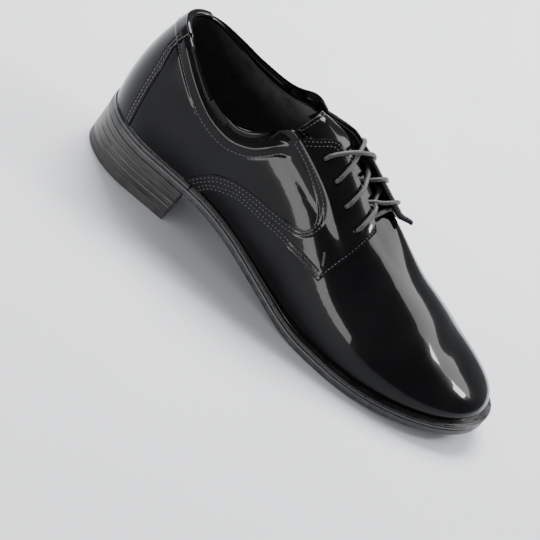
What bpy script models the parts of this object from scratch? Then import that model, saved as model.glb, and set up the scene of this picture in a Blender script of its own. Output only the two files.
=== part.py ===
"""Right-foot plain-toe derby shoe with a stacked heel, welted sole, open lacing and a hinged tongue.

Frame: +Z up, toe toward -Y, lateral side toward -X, heel and ball treads flat on z = 0.
The upper follows one foot form.  A place on it is (a, q): a runs 0 (heel back) - 1 (toe tip)
along the lateral side and on to 2 round the medial side, q runs 0 (feather line) - 1 (ridge).
Each layer of the upper is a panel of that form between two offsets from it.
"""
import math

import bmesh
import bpy
import numpy as np

MM = 0.001
PI = math.pi

# ---- driving dimensions (mm) --------------------------------------------------------------
LENGTH = 300.0
FORM_BACK = 4.4
FORM_LENGTH = 285.2
HEEL_BREAST = 70.0
HEEL_HEIGHT = 23.0
HEEL_RISE = 1.5
TREAD_START = 184.0
TREAD_END = 208.0
TOE_SPRING = 11.0
TOE_SWING = 10.0
OUTSOLE_T = 5.0
WELT_T = 3.2
SEAT_T = 8.6
GAP = 0.35
LACE_R = 1.3
HOLE_R = 2.3
TOP_PIECE_T = 6.0
LIFT_COUNT = 4
# moves the outline so its bounding box is centred on the origin
ORIGIN_SHIFT = (-1.51, -2.09, 0.0)

# half widths of the foot form at the feather line, (distance from heel back, width)
FORM_LATERAL = [(0, 31), (60, 31), (100, 31.5), (140, 36), (180, 45.5), (208, 49.8), (225, 50.3), (300, 50.3)]
FORM_MEDIAL = [(0, 30), (60, 30), (90, 26.5), (115, 24.5), (150, 29), (180, 37.5), (205, 43), (225, 44), (300, 44)]
TOE_CAP_START = 215.0
HEEL_CAP = 36.0
CAP_POWER_LATERAL = 2.1
CAP_POWER_MEDIAL = 2.3
# ridge height over the seat, section squareness and side swell along the form
RIDGE = [(0, 86), (40, 86), (100, 81.5), (130, 76), (160, 66.5), (185, 57.5), (210, 48.5), (235, 39), (255, 30),
         (300, 20)]
SQUARENESS = [(0, 2.6), (60, 2.45), (110, 2.45), (150, 2.45), (190, 2.2), (230, 2.15), (262, 2.25), (300, 2.3)]
SWELL = [(0, 3.5), (40, 3.0), (90, 1.5), (130, 1.5), (190, 2.0), (240, 1.5), (300, 1.0)]
# how far the medial shoulder of the instep stands over the mirrored lateral one
INSTEP_RISE = [(0, 0), (100, 0), (120, 3), (140, 6), (165, 7.5), (178, 7.5), (192, 4.5), (205, 1.5), (218, 0), (300, 0)]
# sole edge beyond the feather line
EDGE = [(0, 4.6), (60, 4.6), (95, 4.6), (140, 5.6), (190, 7.0), (300, 8.4)]
TOE_POLE = 250.0
HEEL_PULL = 26.0


def curve(rows):
    """Shape-preserving cubic through (position, value) rows."""
    px = np.array([r[0] for r in rows], float)
    py = np.array([r[1] for r in rows], float)
    h = np.diff(px)
    d = np.diff(py) / h
    m = np.zeros(len(px))
    for i in range(1, len(px) - 1):
        if d[i - 1] * d[i] > 0:
            w1 = 2 * h[i] + h[i - 1]
            w2 = h[i] + 2 * h[i - 1]
            m[i] = (w1 + w2) / (w1 / d[i - 1] + w2 / d[i])
    if len(px) == 2:
        m[:] = d[0]

    def value(s):
        s = np.asarray(s, float)
        i = np.clip(np.searchsorted(px, s) - 1, 0, len(px) - 2)
        w = px[i + 1] - px[i]
        t = np.clip((s - px[i]) / w, 0, 1)
        t2 = t * t
        t3 = t2 * t
        return ((2 * t3 - 3 * t2 + 1) * py[i] + (t3 - 2 * t2 + t) * w * m[i]
                + (3 * t2 - 2 * t3) * py[i + 1] + (t3 - t2) * w * m[i + 1])
    return value


def smooth(t):
    t = np.clip(t, 0, 1)
    return t * t * (3 - 2 * t)


width_lateral = curve(FORM_LATERAL)
width_medial = curve(FORM_MEDIAL)
ridge_height = curve(RIDGE)
squareness = curve(SQUARENESS)
swell = curve(SWELL)
edge_width = curve(EDGE)
instep_rise = curve(INSTEP_RISE)
FORM_TOE = FORM_BACK + FORM_LENGTH


def centre(s):
    return TOE_SWING * smooth((s - 150.0) / 150.0)


def cap(t, n):
    return np.maximum(1 - np.clip(t, 0, 1) ** n, 0) ** (1 / n)


def half_width(lateral, s):
    w = np.where(lateral, width_lateral(s), width_medial(s))
    n = np.where(lateral, CAP_POWER_LATERAL, CAP_POWER_MEDIAL)
    w = w * cap((s - TOE_CAP_START) / (FORM_TOE - TOE_CAP_START), n)
    return w * cap((FORM_BACK + HEEL_CAP - s) / HEEL_CAP, 2.0)


def station(a):
    u = np.where(a % 2.0 <= 1, a % 2.0, 2 - a % 2.0)
    return FORM_BACK + FORM_LENGTH / 2 * (1 - np.cos(PI * u))


def feather(a):
    """Feather line point (x, s)."""
    a = np.asarray(a, float) % 2.0
    s = station(a)
    lateral = a <= 1
    return centre(s) + np.where(lateral, -1, 1) * half_width(lateral, s), s


def feather_normal(a):
    h = 1e-3
    x1, s1 = feather(np.asarray(a, float) + h)
    x0, s0 = feather(np.asarray(a, float) - h)
    tx = x1 - x0
    ts = s1 - s0
    n = np.hypot(tx, ts)
    return -ts / n, tx / n


def sole_edge(a, inset=0.0):
    """Sole outline point (x, s), moved inward by inset."""
    x, s = feather(a)
    nx, ns = feather_normal(a)
    e = edge_width(s) - inset
    return x + nx * e, s + ns * e


def sole_z(s):
    """Underside of the outsole."""
    s = np.asarray(s, float)
    rise = np.clip((s - TREAD_END) / (LENGTH - TREAD_END), 0, 1.1)
    z = TOE_SPRING * rise ** 1.7
    arch = HEEL_HEIGHT * smooth((TREAD_START - s) / (TREAD_START - HEEL_BREAST))
    z = np.where(s < TREAD_START, arch, z)
    return np.where(s < HEEL_BREAST, HEEL_HEIGHT + HEEL_RISE * (1 - s / HEEL_BREAST), z)


def seat_z(s):
    return sole_z(s) + SEAT_T


def spine(a):
    """Ridge point (x, s, z) facing the feather point at a."""
    s = station(a)
    t = np.clip((s - 205.0) / (FORM_TOE - 205.0), 0, 1)
    fore = 205.0 + (TOE_POLE - 205.0) * t * (2 - t)
    slope = (FORM_TOE - 205.0) / (TOE_POLE - 205.0)
    sp = np.where(s > 205.0, 205.0 + (TOE_POLE - 205.0) * (1 - (1 - t) ** slope), s)
    sp = sp + HEEL_PULL * np.clip((60.0 - s) / 60.0, 0, 2) ** 2
    return centre(sp), sp, seat_z(sp) + ridge_height(sp)


def toe_round(s):
    """Round-off of the ridge profile down to the toe tip."""
    t = (s - 216.0) / (FORM_TOE - 216.0)
    return cap(t, 2.3)


def form(a, q):
    """Foot form surface, array (..., 3) in mm."""
    a, q = np.broadcast_arrays(np.asarray(a, float), np.asarray(q, float))
    over = q > 1
    a = np.where(over, 2 - a, a) % 2.0
    q = np.clip(np.where(over, 2 - q, q), 0, 1)
    around = np.where(a <= 1, q, 2 - q)
    shoulder = smooth((around - 0.85) / 0.35) * (1 - smooth((around - 1.45) / 0.45))
    fx, fs = feather(a)
    sx, ss, sz = spine(a)
    n = squareness(fs)
    tau = q * PI / 2
    hor = 1 - np.maximum(np.cos(tau), 0) ** (2 / n)
    ver = np.sin(tau) ** (2 / n)
    x = fx + (sx - fx) * hor
    s = fs + (ss - fs) * hor
    z_rib = seat_z(fs) + (sz - seat_z(fs)) * ver
    w = half_width(a <= 1, s)
    xi = np.clip(np.abs(x - centre(s)) / np.maximum(w, 1e-6), 0, 1)
    n2 = squareness(s)
    top = ridge_height(s) * toe_round(s)
    z_slice = seat_z(s) + top * np.maximum(1 - xi ** n2, 0) ** (1 / n2)
    mix = smooth((fs - 175.0) / 30.0)
    z = z_rib + (z_slice - z_rib) * mix + instep_rise(s) * shoulder
    nx, ns = feather_normal(a)
    b = swell(fs) * np.sin(ver ** 0.8 * PI)
    return np.stack([x + nx * b, LENGTH / 2 - (s + ns * b), z], -1)


def form_normal(a, q, h=2e-3):
    a, q = np.broadcast_arrays(np.asarray(a, float), np.asarray(q, float))
    q = np.where(np.abs(a - 1) < 0.02, np.minimum(q, 0.99), q)
    ta = form(a + h, q) - form(a - h, q)
    tq = form(a, q + h) - form(a, np.maximum(q - h, 0))
    n = np.cross(ta, tq)
    return n / np.maximum(np.linalg.norm(n, axis=-1, keepdims=True), 1e-12)


# ---- seam lines on the form, (a, q) from the lateral side ----------------------------------
TOPLINE_LATERAL = [(0.0, 0.53), (0.05, 0.53), (0.098, 0.52), (0.163, 0.47), (0.208, 0.405), (0.242, 0.35),
                   (0.283, 0.300), (0.315, 0.284), (0.350, 0.335), (0.387, 0.525)]
TOPLINE_MEDIAL = [(0.0, 0.53), (0.05, 0.53), (0.098, 0.525), (0.163, 0.492), (0.208, 0.458), (0.242, 0.438),
                  (0.283, 0.42), (0.315, 0.425), (0.350, 0.468), (0.387, 0.558)]
FACING_TOP = [(0.398, 0.605), (0.410, 0.675), (0.420, 0.748), (0.428, 0.82), (0.437, 0.862), (0.451, 0.882)]
LACE_EDGE = [(0.487, 0.887), (0.530, 0.884), (0.551, 0.842)]
FACING_TOP_MEDIAL = [(0.404, 0.61), (0.423, 0.68), (0.438, 0.75), (0.449, 0.82), (0.459, 0.862), (0.473, 0.882)]
LACE_EDGE_MEDIAL = [(0.508, 0.887), (0.556, 0.887), (0.578, 0.850)]
FRONT_SEAM = [(0.551, 0.842), (0.550, 0.68), (0.548, 0.52), (0.542, 0.278)]
FRONT_SEAM_MEDIAL = [(0.578, 0.850), (0.572, 0.68), (0.558, 0.48), (0.542, 0.278)]
BAND_SEAM = [(0.542, 0.278), (0.487, 0.198), (0.433, 0.127), (0.385, 0.085), (0.347, 0.030), (0.337, 0.0)]
QUARTER_SEAM = [(0.425, 0.518), (0.462, 0.493), (0.482, 0.46), (0.490, 0.405), (0.485, 0.335), (0.463, 0.265),
                (0.430, 0.21), (0.393, 0.165), (0.362, 0.13), (0.338, 0.09), (0.310, 0.015), (0.305, 0.0)]
STRAP_SEAM = [(0.112, 0.51), (0.108, 0.39), (0.133, 0.25), (0.145, 0.12), (0.157, 0.0)]
HOLES = [(0.438, 0.68), (0.468, 0.68), (0.499, 0.672), (0.530, 0.675)]
MEDIAL_AHEAD = 0.0215
UNDERLAP = [(0.0, 0.520), (0.40, 0.520), (0.60, 0.540), (0.86, 0.5405), (1.0, 0.548)]
UNDERLAP_MEDIAL = [(0.0, 0.520), (0.38, 0.520), (0.56, 0.558), (0.80, 0.563), (0.92, 0.558), (1.0, 0.548)]
TONGUE_BASE = 0.537
TONGUE_TOP = 0.398
TONGUE_SIDE = [(0.37, 0.54), (0.39, 0.56), (0.412, 0.64), (0.436, 0.765), (0.48, 0.79), (0.54, 0.815)]
TONGUE_CREST_SAG = 3.0
TONGUE_SIDE_SAG = 8.5
WING_LIFT = 5.5

# layer offsets from the form (mm): skins, stiffening, outer leather, and how far the facings
# stand off where the laces and the tongue pass beneath them
SKIN = (0.0, 0.8)
STIFF = (1.25, 1.95)
LEATHER = (2.4, 3.7)
TONGUE_SKIN = (0.0, 0.7)
TONGUE_LEATHER = (1.05, 2.05)
SKIN_LIFT = 5.75
LEATHER_LIFT = 4.7
VAMP_LIFT = 1.75
LACE_OVER = 10.5
LACE_UNDER = 4.05

underlap = curve(UNDERLAP)
underlap_medial = curve(UNDERLAP_MEDIAL)
tongue_side = curve(TONGUE_SIDE)


def under(q, lateral):
    """Where the vamp ends beneath the facings."""
    return underlap(q) if lateral else underlap_medial(q)


def lace_lift(a, q):
    """0 on the plain upper, 1 where the facings clear the tongue and laces."""
    u = np.where(a <= 1, a, 2 - a)
    end = np.where(a <= 1, 0.572, 0.572 + MEDIAL_AHEAD)
    return (smooth((q - 0.40) / 0.20) * smooth((end - u) / 0.036) * smooth((u - 0.32) / 0.06)
            * smooth((np.minimum(q, 1) - 0.40) / 0.20))


def front_lift(a):
    u = np.where(a <= 1, a, 2 - a)
    return smooth((u - 0.455) / 0.045)


def skin_offset(a, q, level):
    return SKIN[level] + (SKIN_LIFT + (0 if level == 0 else -0.2)) * lace_lift(a, q)


def facing_offset(a, q, level):
    rise = VAMP_LIFT * front_lift(a)
    k = lace_lift(a, q)
    top = 0.1 if level else 0.0
    u = np.where(a <= 1, a, 2 - a)
    wing = WING_LIFT * smooth((u - 0.562) / 0.018) * smooth((q - 0.62) / 0.20) * (a > 1)
    return LEATHER[level] + rise + (LEATHER_LIFT - rise - top) * k + wing


def flat_offset(band):
    def value(a, q, level):
        return np.full(np.shape(a), band[level])
    return value


# ---- mesh helpers --------------------------------------------------------------------------
def start_clean():
    for ob in list(bpy.data.objects):
        bpy.data.objects.remove(ob)


def finish_material(name, color, roughness, metallic=0.0):
    m = bpy.data.materials.new(name)
    m.use_nodes = True
    b = m.node_tree.nodes["Principled BSDF"]
    b.inputs["Base Color"].default_value = (color[0], color[1], color[2], 1)
    b.inputs["Roughness"].default_value = roughness
    b.inputs["Metallic"].default_value = metallic
    return m


def world(points_mm):
    """Millimetres in the form's own frame to metres in the part's frame."""
    return (np.asarray(points_mm, float) + ORIGIN_SHIFT) * MM


def add_mesh(name, points_mm, faces, material):
    me = bpy.data.meshes.new(name)
    p = world(points_mm)
    me.from_pydata([tuple(v) for v in p], [], faces)
    bm = bmesh.new()
    bm.from_mesh(me)
    bmesh.ops.remove_doubles(bm, verts=bm.verts, dist=0.000002)
    bmesh.ops.recalc_face_normals(bm, faces=bm.faces)
    bm.to_mesh(me)
    bm.free()
    me.materials.append(material)
    ob = bpy.data.objects.new(name, me)
    bpy.context.scene.collection.objects.link(ob)
    return ob


def shell(name, outer, inner, faces, material):
    """Closed body between two point sets that share one set of faces."""
    n = len(outer)
    edges = {}
    for f in faces:
        for k in range(len(f)):
            e = (f[k], f[(k + 1) % len(f)])
            edges[e] = edges.get(e, 0) + 1
    walls = []
    for (i, j) in edges:
        if (j, i) not in edges:
            walls.append((j, i, i + n, j + n))
    back = [tuple(v + n for v in reversed(f)) for f in faces]
    return add_mesh(name, np.vstack([outer, inner]), list(faces) + back + walls, material)


def grid_faces(rows, cols, ident=None):
    out = []
    for i in range(rows - 1):
        for j in range(cols - 1):
            f = [i * cols + j, i * cols + j + 1, (i + 1) * cols + j + 1, (i + 1) * cols + j]
            if ident:
                f = [ident(v) for v in f]
            g = []
            for v in f:
                if v not in g:
                    g.append(v)
            if len(g) > 2:
                out.append(tuple(g))
    return out


def panel(name, a, q, offset, material, ident=None):
    """Body over a grid of (a, q) places between two offsets from the form."""
    rows, cols = a.shape
    fa = a.ravel()
    fq = q.ravel()
    p = form(fa, fq)
    n = form_normal(fa, fq)
    outer = p + n * offset(fa, fq, 1)[:, None]
    inner = p + n * offset(fa, fq, 0)[:, None]
    for side in (outer, inner):
        floor = seat_z(LENGTH / 2 - side[:, 1]) + 0.1
        side[:, 2] = np.where(fq < 1e-6, floor, np.maximum(side[:, 2], floor))
    return shell(name, outer, inner, grid_faces(rows, cols, ident), material)


def along(rows, count, start=0.0, end=1.0):
    """Resample a seam line to equal steps, as an array (count, 2)."""
    p = np.array(rows, float)
    w = np.array([300.0, 60.0])
    d = np.r_[0, np.cumsum(np.linalg.norm(np.diff(p, axis=0) * w, axis=1))]
    d /= d[-1]
    t = np.linspace(start, end, count)
    return np.stack([np.interp(t, d, p[:, 0]), np.interp(t, d, p[:, 1])], -1)


def soften(points, passes=2):
    """Ease the corners of a resampled seam line, ends kept."""
    p = np.array(points, float)
    for _ in range(passes):
        p[1:-1] = 0.25 * p[:-2] + 0.5 * p[1:-1] + 0.25 * p[2:]
    return p


def patch(left, right, top, bottom):
    """Four-sided patch of (a, q) places; left/right run top to bottom, top/bottom left to right."""
    nv = len(left)
    nu = len(top)
    u = np.linspace(0, 1, nu)[None, :, None]
    v = np.linspace(0, 1, nv)[:, None, None]
    side = left[:, None] * (1 - u) + right[:, None] * u
    cross = top[None] * (1 - v) + bottom[None] * v
    corner = (left[0] * (1 - u) * (1 - v) + right[0] * u * (1 - v)
              + left[-1] * (1 - u) * v + right[-1] * u * v)
    return side + cross - corner


def to_side(g, lateral):
    a = g[..., 0] if lateral else 2 - g[..., 0]
    return a, g[..., 1]


def topline(lateral, lo, hi, count):
    rows = TOPLINE_LATERAL if lateral else TOPLINE_MEDIAL
    f = curve(rows)
    a = np.linspace(lo, hi, count)
    return np.stack([a, f(a)], -1)


def side_name(base, lateral):
    return base + ("_lateral" if lateral else "_medial")


# ---- upper ---------------------------------------------------------------------------------
SEAM_HALF = 0.0008
SEAM_STEPS = 26


def quarter(lateral, material):
    top_q = float(curve(TOPLINE_LATERAL if lateral else TOPLINE_MEDIAL)(0.112))
    left = along([(0.112, top_q)] + STRAP_SEAM[1:], SEAM_STEPS)
    left[:, 0] += SEAM_HALF
    start = TOPLINE_LATERAL[-1] if lateral else TOPLINE_MEDIAL[-1]
    seam = soften(along([start] + QUARTER_SEAM, 61), 3)
    right = along([tuple(r) for r in seam], SEAM_STEPS)
    right[:, 0] -= SEAM_HALF
    top = topline(lateral, left[0, 0], right[0, 0], 14)
    top[-1] = right[0]
    top[0] = left[0]
    bottom = np.stack([np.linspace(left[-1, 0], right[-1, 0], 14), np.zeros(14)], -1)
    a, q = to_side(patch(left, right, top, bottom), lateral)
    return panel(side_name("quarter", lateral), a, q, facing_offset, material)


def facing(lateral, material):
    start = TOPLINE_LATERAL[-1] if lateral else TOPLINE_MEDIAL[-1]
    seam = soften(along([start] + QUARTER_SEAM, 61), 3)
    n1, n2, n3 = 6, 7, SEAM_STEPS - 14
    left = along([tuple(r) for r in seam], SEAM_STEPS)
    left[:, 0] += SEAM_HALF
    top = along([tuple(left[0])] + (FACING_TOP if lateral else FACING_TOP_MEDIAL), 9)
    edge = along([tuple(top[-1])] + (LACE_EDGE if lateral else LACE_EDGE_MEDIAL), n1 + 1)
    front = along(FRONT_SEAM if lateral else FRONT_SEAM_MEDIAL, n2 + 1)
    band = along(BAND_SEAM, n3 + 1)
    right = np.vstack([edge, front[1:], band[1:]])
    bottom = np.stack([np.linspace(left[-1, 0], right[-1, 0], 9), np.zeros(9)], -1)
    a, q = to_side(patch(left, right, top, bottom), lateral)
    return panel(side_name("facing", lateral), a, q, facing_offset, material)


def backstrap(material):
    n = 15
    lat = along([(0.112, 0.515)] + STRAP_SEAM[1:], n)
    lat[0, 1] = float(curve(TOPLINE_LATERAL)(0.112))
    med = lat.copy()
    med[0, 1] = float(curve(TOPLINE_MEDIAL)(0.112))
    med[:, 0] = -med[:, 0] + SEAM_HALF
    lat[:, 0] -= SEAM_HALF
    a_top = np.linspace(med[0, 0], lat[0, 0], 11)
    q_top = np.where(a_top > 0, curve(TOPLINE_LATERAL)(np.abs(a_top)), curve(TOPLINE_MEDIAL)(np.abs(a_top)))
    top = np.stack([a_top, q_top], -1)
    top[0] = med[0]
    top[-1] = lat[0]
    bottom = np.stack([np.linspace(med[-1, 0], lat[-1, 0], 11), np.zeros(11)], -1)
    g = patch(med, lat, top, bottom)
    return panel("backstrap", g[..., 0], g[..., 1], flat_offset(LEATHER), material)


FORE_ROWS = [0.0, 0.05, 0.10, 0.15, 0.20, 0.24, 0.278, 0.34, 0.41, 0.48, 0.56, 0.65, 0.74, 0.83, 0.92, 1.0]
FORE_COLS = [0.62, 0.655, 0.69, 0.725, 0.76, 0.795, 0.83, 0.862, 0.892, 0.92, 0.946, 0.973, 1.0]


def forepart(name, start, offset, material):
    """Panel that wraps the toe from the lateral throat to the medial throat."""
    q = np.array(FORE_ROWS)
    halves = []
    for lateral in (True, False):
        rear = start(q, lateral)
        cols = []
        for t in np.linspace(0, 1, 9)[:-1]:
            cols.append(rear + (FORE_COLS[0] - rear) * t)
        for c in FORE_COLS:
            cols.append(np.full(len(q), c))
        halves.append(np.array(cols))
    a = np.vstack([halves[0], 2 - halves[1][-2::-1]])
    qq = np.broadcast_to(q, a.shape)
    rows, cols_n = a.shape

    def ident(v):
        i, j = divmod(v, cols_n)
        if j == cols_n - 1 and i > rows // 2:
            return (rows - 1 - i) * cols_n + j
        return v
    return panel(name, a, qq, offset, material, ident)


def vamp_start(q, lateral):
    band = np.array(BAND_SEAM[::-1])
    seam = np.interp(q, band[:, 1], band[:, 0])
    seam = np.where(q > 0.279, 1.0, seam)
    return np.minimum(seam + SEAM_HALF * 1.9, under(q, lateral))


def vamp_skin_start(q, lateral):
    return under(q, lateral) - 0.001


def skin_quarter(lateral, material):
    """Lining of one side from the heel seam to the vamp lining, lifted under the facing."""
    n = 13
    rows = TOPLINE_LATERAL if lateral else TOPLINE_MEDIAL
    f = curve(rows)
    q0 = float(f(0.0)) - 0.012
    left = np.stack([np.full(n, 0.0012), np.linspace(q0, 0.0, n)], -1)
    a_top = np.linspace(0.0012, 0.385, 20)
    top = np.stack([a_top, f(a_top) - 0.012], -1)
    ahead = 0.0 if lateral else MEDIAL_AHEAD
    rows = FACING_TOP if lateral else FACING_TOP_MEDIAL
    rise = along([(0.385, top[-1, 1])] + rows[:-1] + [(0.452 + ahead, 0.862)], 7)
    rise[:, 1] = np.maximum(rise[:, 1] - 0.008, top[-1, 1])
    top = np.vstack([top, rise[1:], along([tuple(rise[-1]), (0.531 + ahead, 0.862)], 7)[1:]])
    nu = len(top)
    q_front = np.linspace(0.862, 0.0, n)
    right = np.stack([under(q_front, lateral) - 0.0055, q_front], -1)
    bottom = np.stack([np.linspace(0.0012, right[-1, 0], nu), np.zeros(nu)], -1)
    top[-1] = right[0]
    a, q = to_side(patch(left, right, top, bottom), lateral)
    return panel(side_name("quarter_lining", lateral), a, q, skin_offset, material)


def toe_puff(material):
    q = np.array(FORE_ROWS[1:11])
    half = np.array(FORE_COLS[5:])
    a = np.r_[half, 2 - half[-2::-1]]
    aa, qq = np.meshgrid(a, q, indexing="ij")
    return panel("toe_puff", aa, qq, flat_offset(STIFF), material)


def heel_counter(material):
    aa, qq = np.meshgrid(np.linspace(-0.28, 0.28, 25), np.linspace(0.02, 0.235, 6), indexing="ij")
    qq = qq * (1 - 0.35 * (np.abs(aa) / 0.28)[..., ] ** 3)
    return panel("heel_counter", aa, qq, flat_offset(STIFF), material)


def collar_padding(material):
    a = np.linspace(-0.335, 0.335, 31)
    top = np.where(a > 0, curve(TOPLINE_LATERAL)(np.abs(a)), curve(TOPLINE_MEDIAL)(np.abs(a))) - 0.03
    low = top - 0.10 * (1 - 0.65 * smooth((np.abs(a) - 0.2) / 0.13))
    low = np.maximum(low, 0.25)
    v = np.linspace(0, 1, 4)[None]
    qq = low[:, None] * (1 - v) + top[:, None] * v
    aa = np.broadcast_to(a[:, None], qq.shape)
    return panel("collar_padding", aa, qq, flat_offset(STIFF), material)


def tongue_panel(name, band, top_extra, material):
    """Tongue from its stitched base back over the instep, same rows for both layers."""
    a = np.linspace(TONGUE_BASE, TONGUE_TOP, 14)
    side = tongue_side(a)
    u = np.linspace(-1, 1, 11)[None]
    half = (1 - side)[:, None]
    round_off = smooth((a - TONGUE_TOP) / 0.02)[:, None]
    qq = 1 + u * half * (0.93 + 0.07 * round_off)
    aa = a[:, None] - 0.008 * u ** 2 * (1 - smooth((a - TONGUE_TOP) / 0.05))[:, None]
    aa = np.broadcast_to(aa, qq.shape)

    def sagging(a, q, level):
        u = np.where(a <= 1, a, 2 - a)
        low = TONGUE_CREST_SAG + (TONGUE_SIDE_SAG - TONGUE_CREST_SAG) * smooth(np.abs(1 - q) / 0.42)
        return band[level] - (low - top_extra) * smooth((0.440 - u) / 0.045)
    return panel(name, aa, qq, sagging, material)


# ---- bottom --------------------------------------------------------------------------------
BREAST_A = math.acos(1 - 2 * (HEEL_BREAST - FORM_BACK) / FORM_LENGTH) / PI


def plate(name, outline, a0, a1, z_low, z_high, material, across=8, steps=40, ease=0.0):
    """Slab between two outlines of the same a on each side; open ends close as straight edges."""
    t = np.linspace(0, 1, steps)
    a = a0 + (a1 - a0) * t
    lx, ls = outline(a)
    rx, rs = outline(2 - a)
    w = np.linspace(0, 1, across + 1)[None]
    x = lx[:, None] * (1 - w) + rx[:, None] * w
    s = ls[:, None] * (1 - w) + rs[:, None] * w
    first = a0 <= 1e-9
    last = a1 >= 1 - 1e-9
    cols = across + 1

    def ident(v):
        i, j = divmod(v, cols)
        if (first and i == 0) or (last and i == steps - 1):
            return i * cols
        return v
    y = LENGTH / 2 - s
    upper = np.stack([x, y, z_high(s)], -1).reshape(-1, 3)
    lower = np.stack([x, y, z_low(s)], -1).reshape(-1, 3)
    return shell(name, upper, lower, grid_faces(steps, cols, ident), material)


def edge_outline(inset):
    def value(a):
        return sole_edge(a, inset)
    return value


def feather_outline(inset):
    def value(a):
        x, s = feather(a)
        nx, ns = feather_normal(a)
        return x - nx * inset, s - ns * inset
    return value


def rim(name, a0, a1, steps, material):
    """Welt or heel rand: a grooved strip that follows the sole edge."""
    a = np.linspace(a0, a1, steps)
    nx, ns = feather_normal(a)
    fx, fs = feather(a)
    width = edge_width(fs)
    base = OUTSOLE_T + 0.2
    top = SEAT_T - 0.25
    section = [(-1.0, base, 0), (0.0, base, 1), (0.0, base + 0.55 * (top - base), 1),
               (-0.7, base + 0.62 * (top - base), 1), (0.0, base + 0.72 * (top - base), 1),
               (-0.5, top, 1), (-1.0, top, 0)]
    pts = []
    for off, z, at_edge in section:
        e = width + off if at_edge else np.full(steps, off)
        x = fx + nx * e
        s = fs + ns * e
        pts.append(np.stack([x, LENGTH / 2 - s, sole_z(s) + z], -1))
    p = np.stack(pts, 1)
    k = len(section)
    faces = []
    for i in range(steps - 1):
        for j in range(k):
            j2 = (j + 1) % k
            faces.append((i * k + j, i * k + j2, (i + 1) * k + j2, (i + 1) * k + j))
    faces.append(tuple(range(k))[::-1])
    faces.append(tuple((steps - 1) * k + j for j in range(k)))
    return add_mesh(name, p.reshape(-1, 3), faces, material)


def heel_block(materials):
    """Top piece and the lifts over it, each a slab that tapers with the block."""
    under = HEEL_HEIGHT
    pieces = []
    bounds = [0.0, TOP_PIECE_T]
    for k in range(1, LIFT_COUNT + 1):
        bounds.append(TOP_PIECE_T + (under - TOP_PIECE_T) * k / LIFT_COUNT)

    def level(z):
        k = max(z - TOP_PIECE_T, 0) / (under - TOP_PIECE_T)

        def value(s):
            rise = sole_z(np.minimum(s, HEEL_BREAST - 0.01)) - under
            return z + rise * k
        return value
    for k in range(LIFT_COUNT + 1):
        low, high = bounds[k], bounds[k + 1]
        inset = 1.7 - 1.3 * (low + high) / 2 / under
        name = "top_piece" if k == 0 else "heel_lift_%d" % k
        f_low = level(low)
        f_high = level(high)
        gap = 0.15

        def z_low(s, f=f_low, g=0.0 if k == 0 else gap):
            return f(s) + g

        def z_high(s, f=f_high):
            return f(s)
        if k == LIFT_COUNT:
            def z_high(s, f=f_high):
                return f(s) - gap
        pieces.append(plate(name, edge_outline(inset), 0.0, BREAST_A, z_low, z_high,
                            materials["rubber"] if k == 0 else materials["stack"], across=4, steps=16))
    return pieces


def at(a, q, off):
    """World point (mm) at an offset from the form."""
    p = form(a, q)
    return p + form_normal(a, q) * off


def lifts(materials):
    plate("outsole", edge_outline(0.0), 0.0, 1.0, lambda s: sole_z(s), lambda s: sole_z(s) + OUTSOLE_T,
          materials["outsole"], across=6, steps=54)
    rim("welt", BREAST_A + 0.006, 2 - BREAST_A - 0.006, 84, materials["welt"])
    rim("heel_rand", -BREAST_A - 0.002, BREAST_A + 0.002, 34, materials["welt"])
    plate("insole", feather_outline(1.7), 0.0, 1.0, lambda s: sole_z(s) + 6.9, lambda s: sole_z(s) + 8.3,
          materials["board"], across=4, steps=34)
    a_fill = math.acos(1 - 2 * (156.0 - FORM_BACK) / FORM_LENGTH) / PI
    plate("cork_filler", feather_outline(2.6), a_fill, 1.0, lambda s: sole_z(s) + OUTSOLE_T + 0.2,
          lambda s: sole_z(s) + 6.7, materials["cork"], across=4, steps=22)
    a_seat = math.acos(1 - 2 * (58.0 - FORM_BACK) / FORM_LENGTH) / PI
    plate("heel_seat", feather_outline(2.6), 0.0, a_seat, lambda s: sole_z(s) + OUTSOLE_T + 0.2,
          lambda s: sole_z(s) + 6.7, materials["board"], across=4, steps=12)


def shank(material):
    s = np.linspace(62.0, 150.0, 18)
    half = 7.0
    c = centre(s) - 1.0
    z0 = sole_z(s) + OUTSOLE_T + 0.3
    z1 = sole_z(s) + 6.6
    p = []
    for i in range(len(s)):
        y = LENGTH / 2 - s[i]
        p += [(c[i] - half, y, z0[i]), (c[i] + half, y, z0[i]), (c[i] + half, y, z1[i]), (c[i] - half, y, z1[i])]
    faces = [(3, 2, 1, 0), tuple((len(s) - 1) * 4 + j for j in range(4))]
    for i in range(len(s) - 1):
        for j in range(4):
            k = (j + 1) % 4
            faces.append((i * 4 + j, i * 4 + k, (i + 1) * 4 + k, (i + 1) * 4 + j))
    return add_mesh("shank", p, faces, material)


def sock_outline(a):
    """Sock lining edge: inside the skins, cut short under the vamp."""
    x, s = feather(a)
    nx, ns = feather_normal(a)
    return x - nx * 1.3, s - ns * 1.3


def sock(material):
    a_end = math.acos(1 - 2 * (205.0 - FORM_BACK) / FORM_LENGTH) / PI
    return plate("sock_lining", sock_outline, 0.0, a_end, lambda s: seat_z(s) + 0.1, lambda s: seat_z(s) + 1.0,
                 material, across=4, steps=24)


# ---- lacing --------------------------------------------------------------------------------
def hole_places():
    out = {}
    for k, (a, q) in enumerate(HOLES):
        out[("near", k + 1)] = (a, q)
        out[("far", k + 1)] = (2 - a - MEDIAL_AHEAD, q)
    return out


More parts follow.
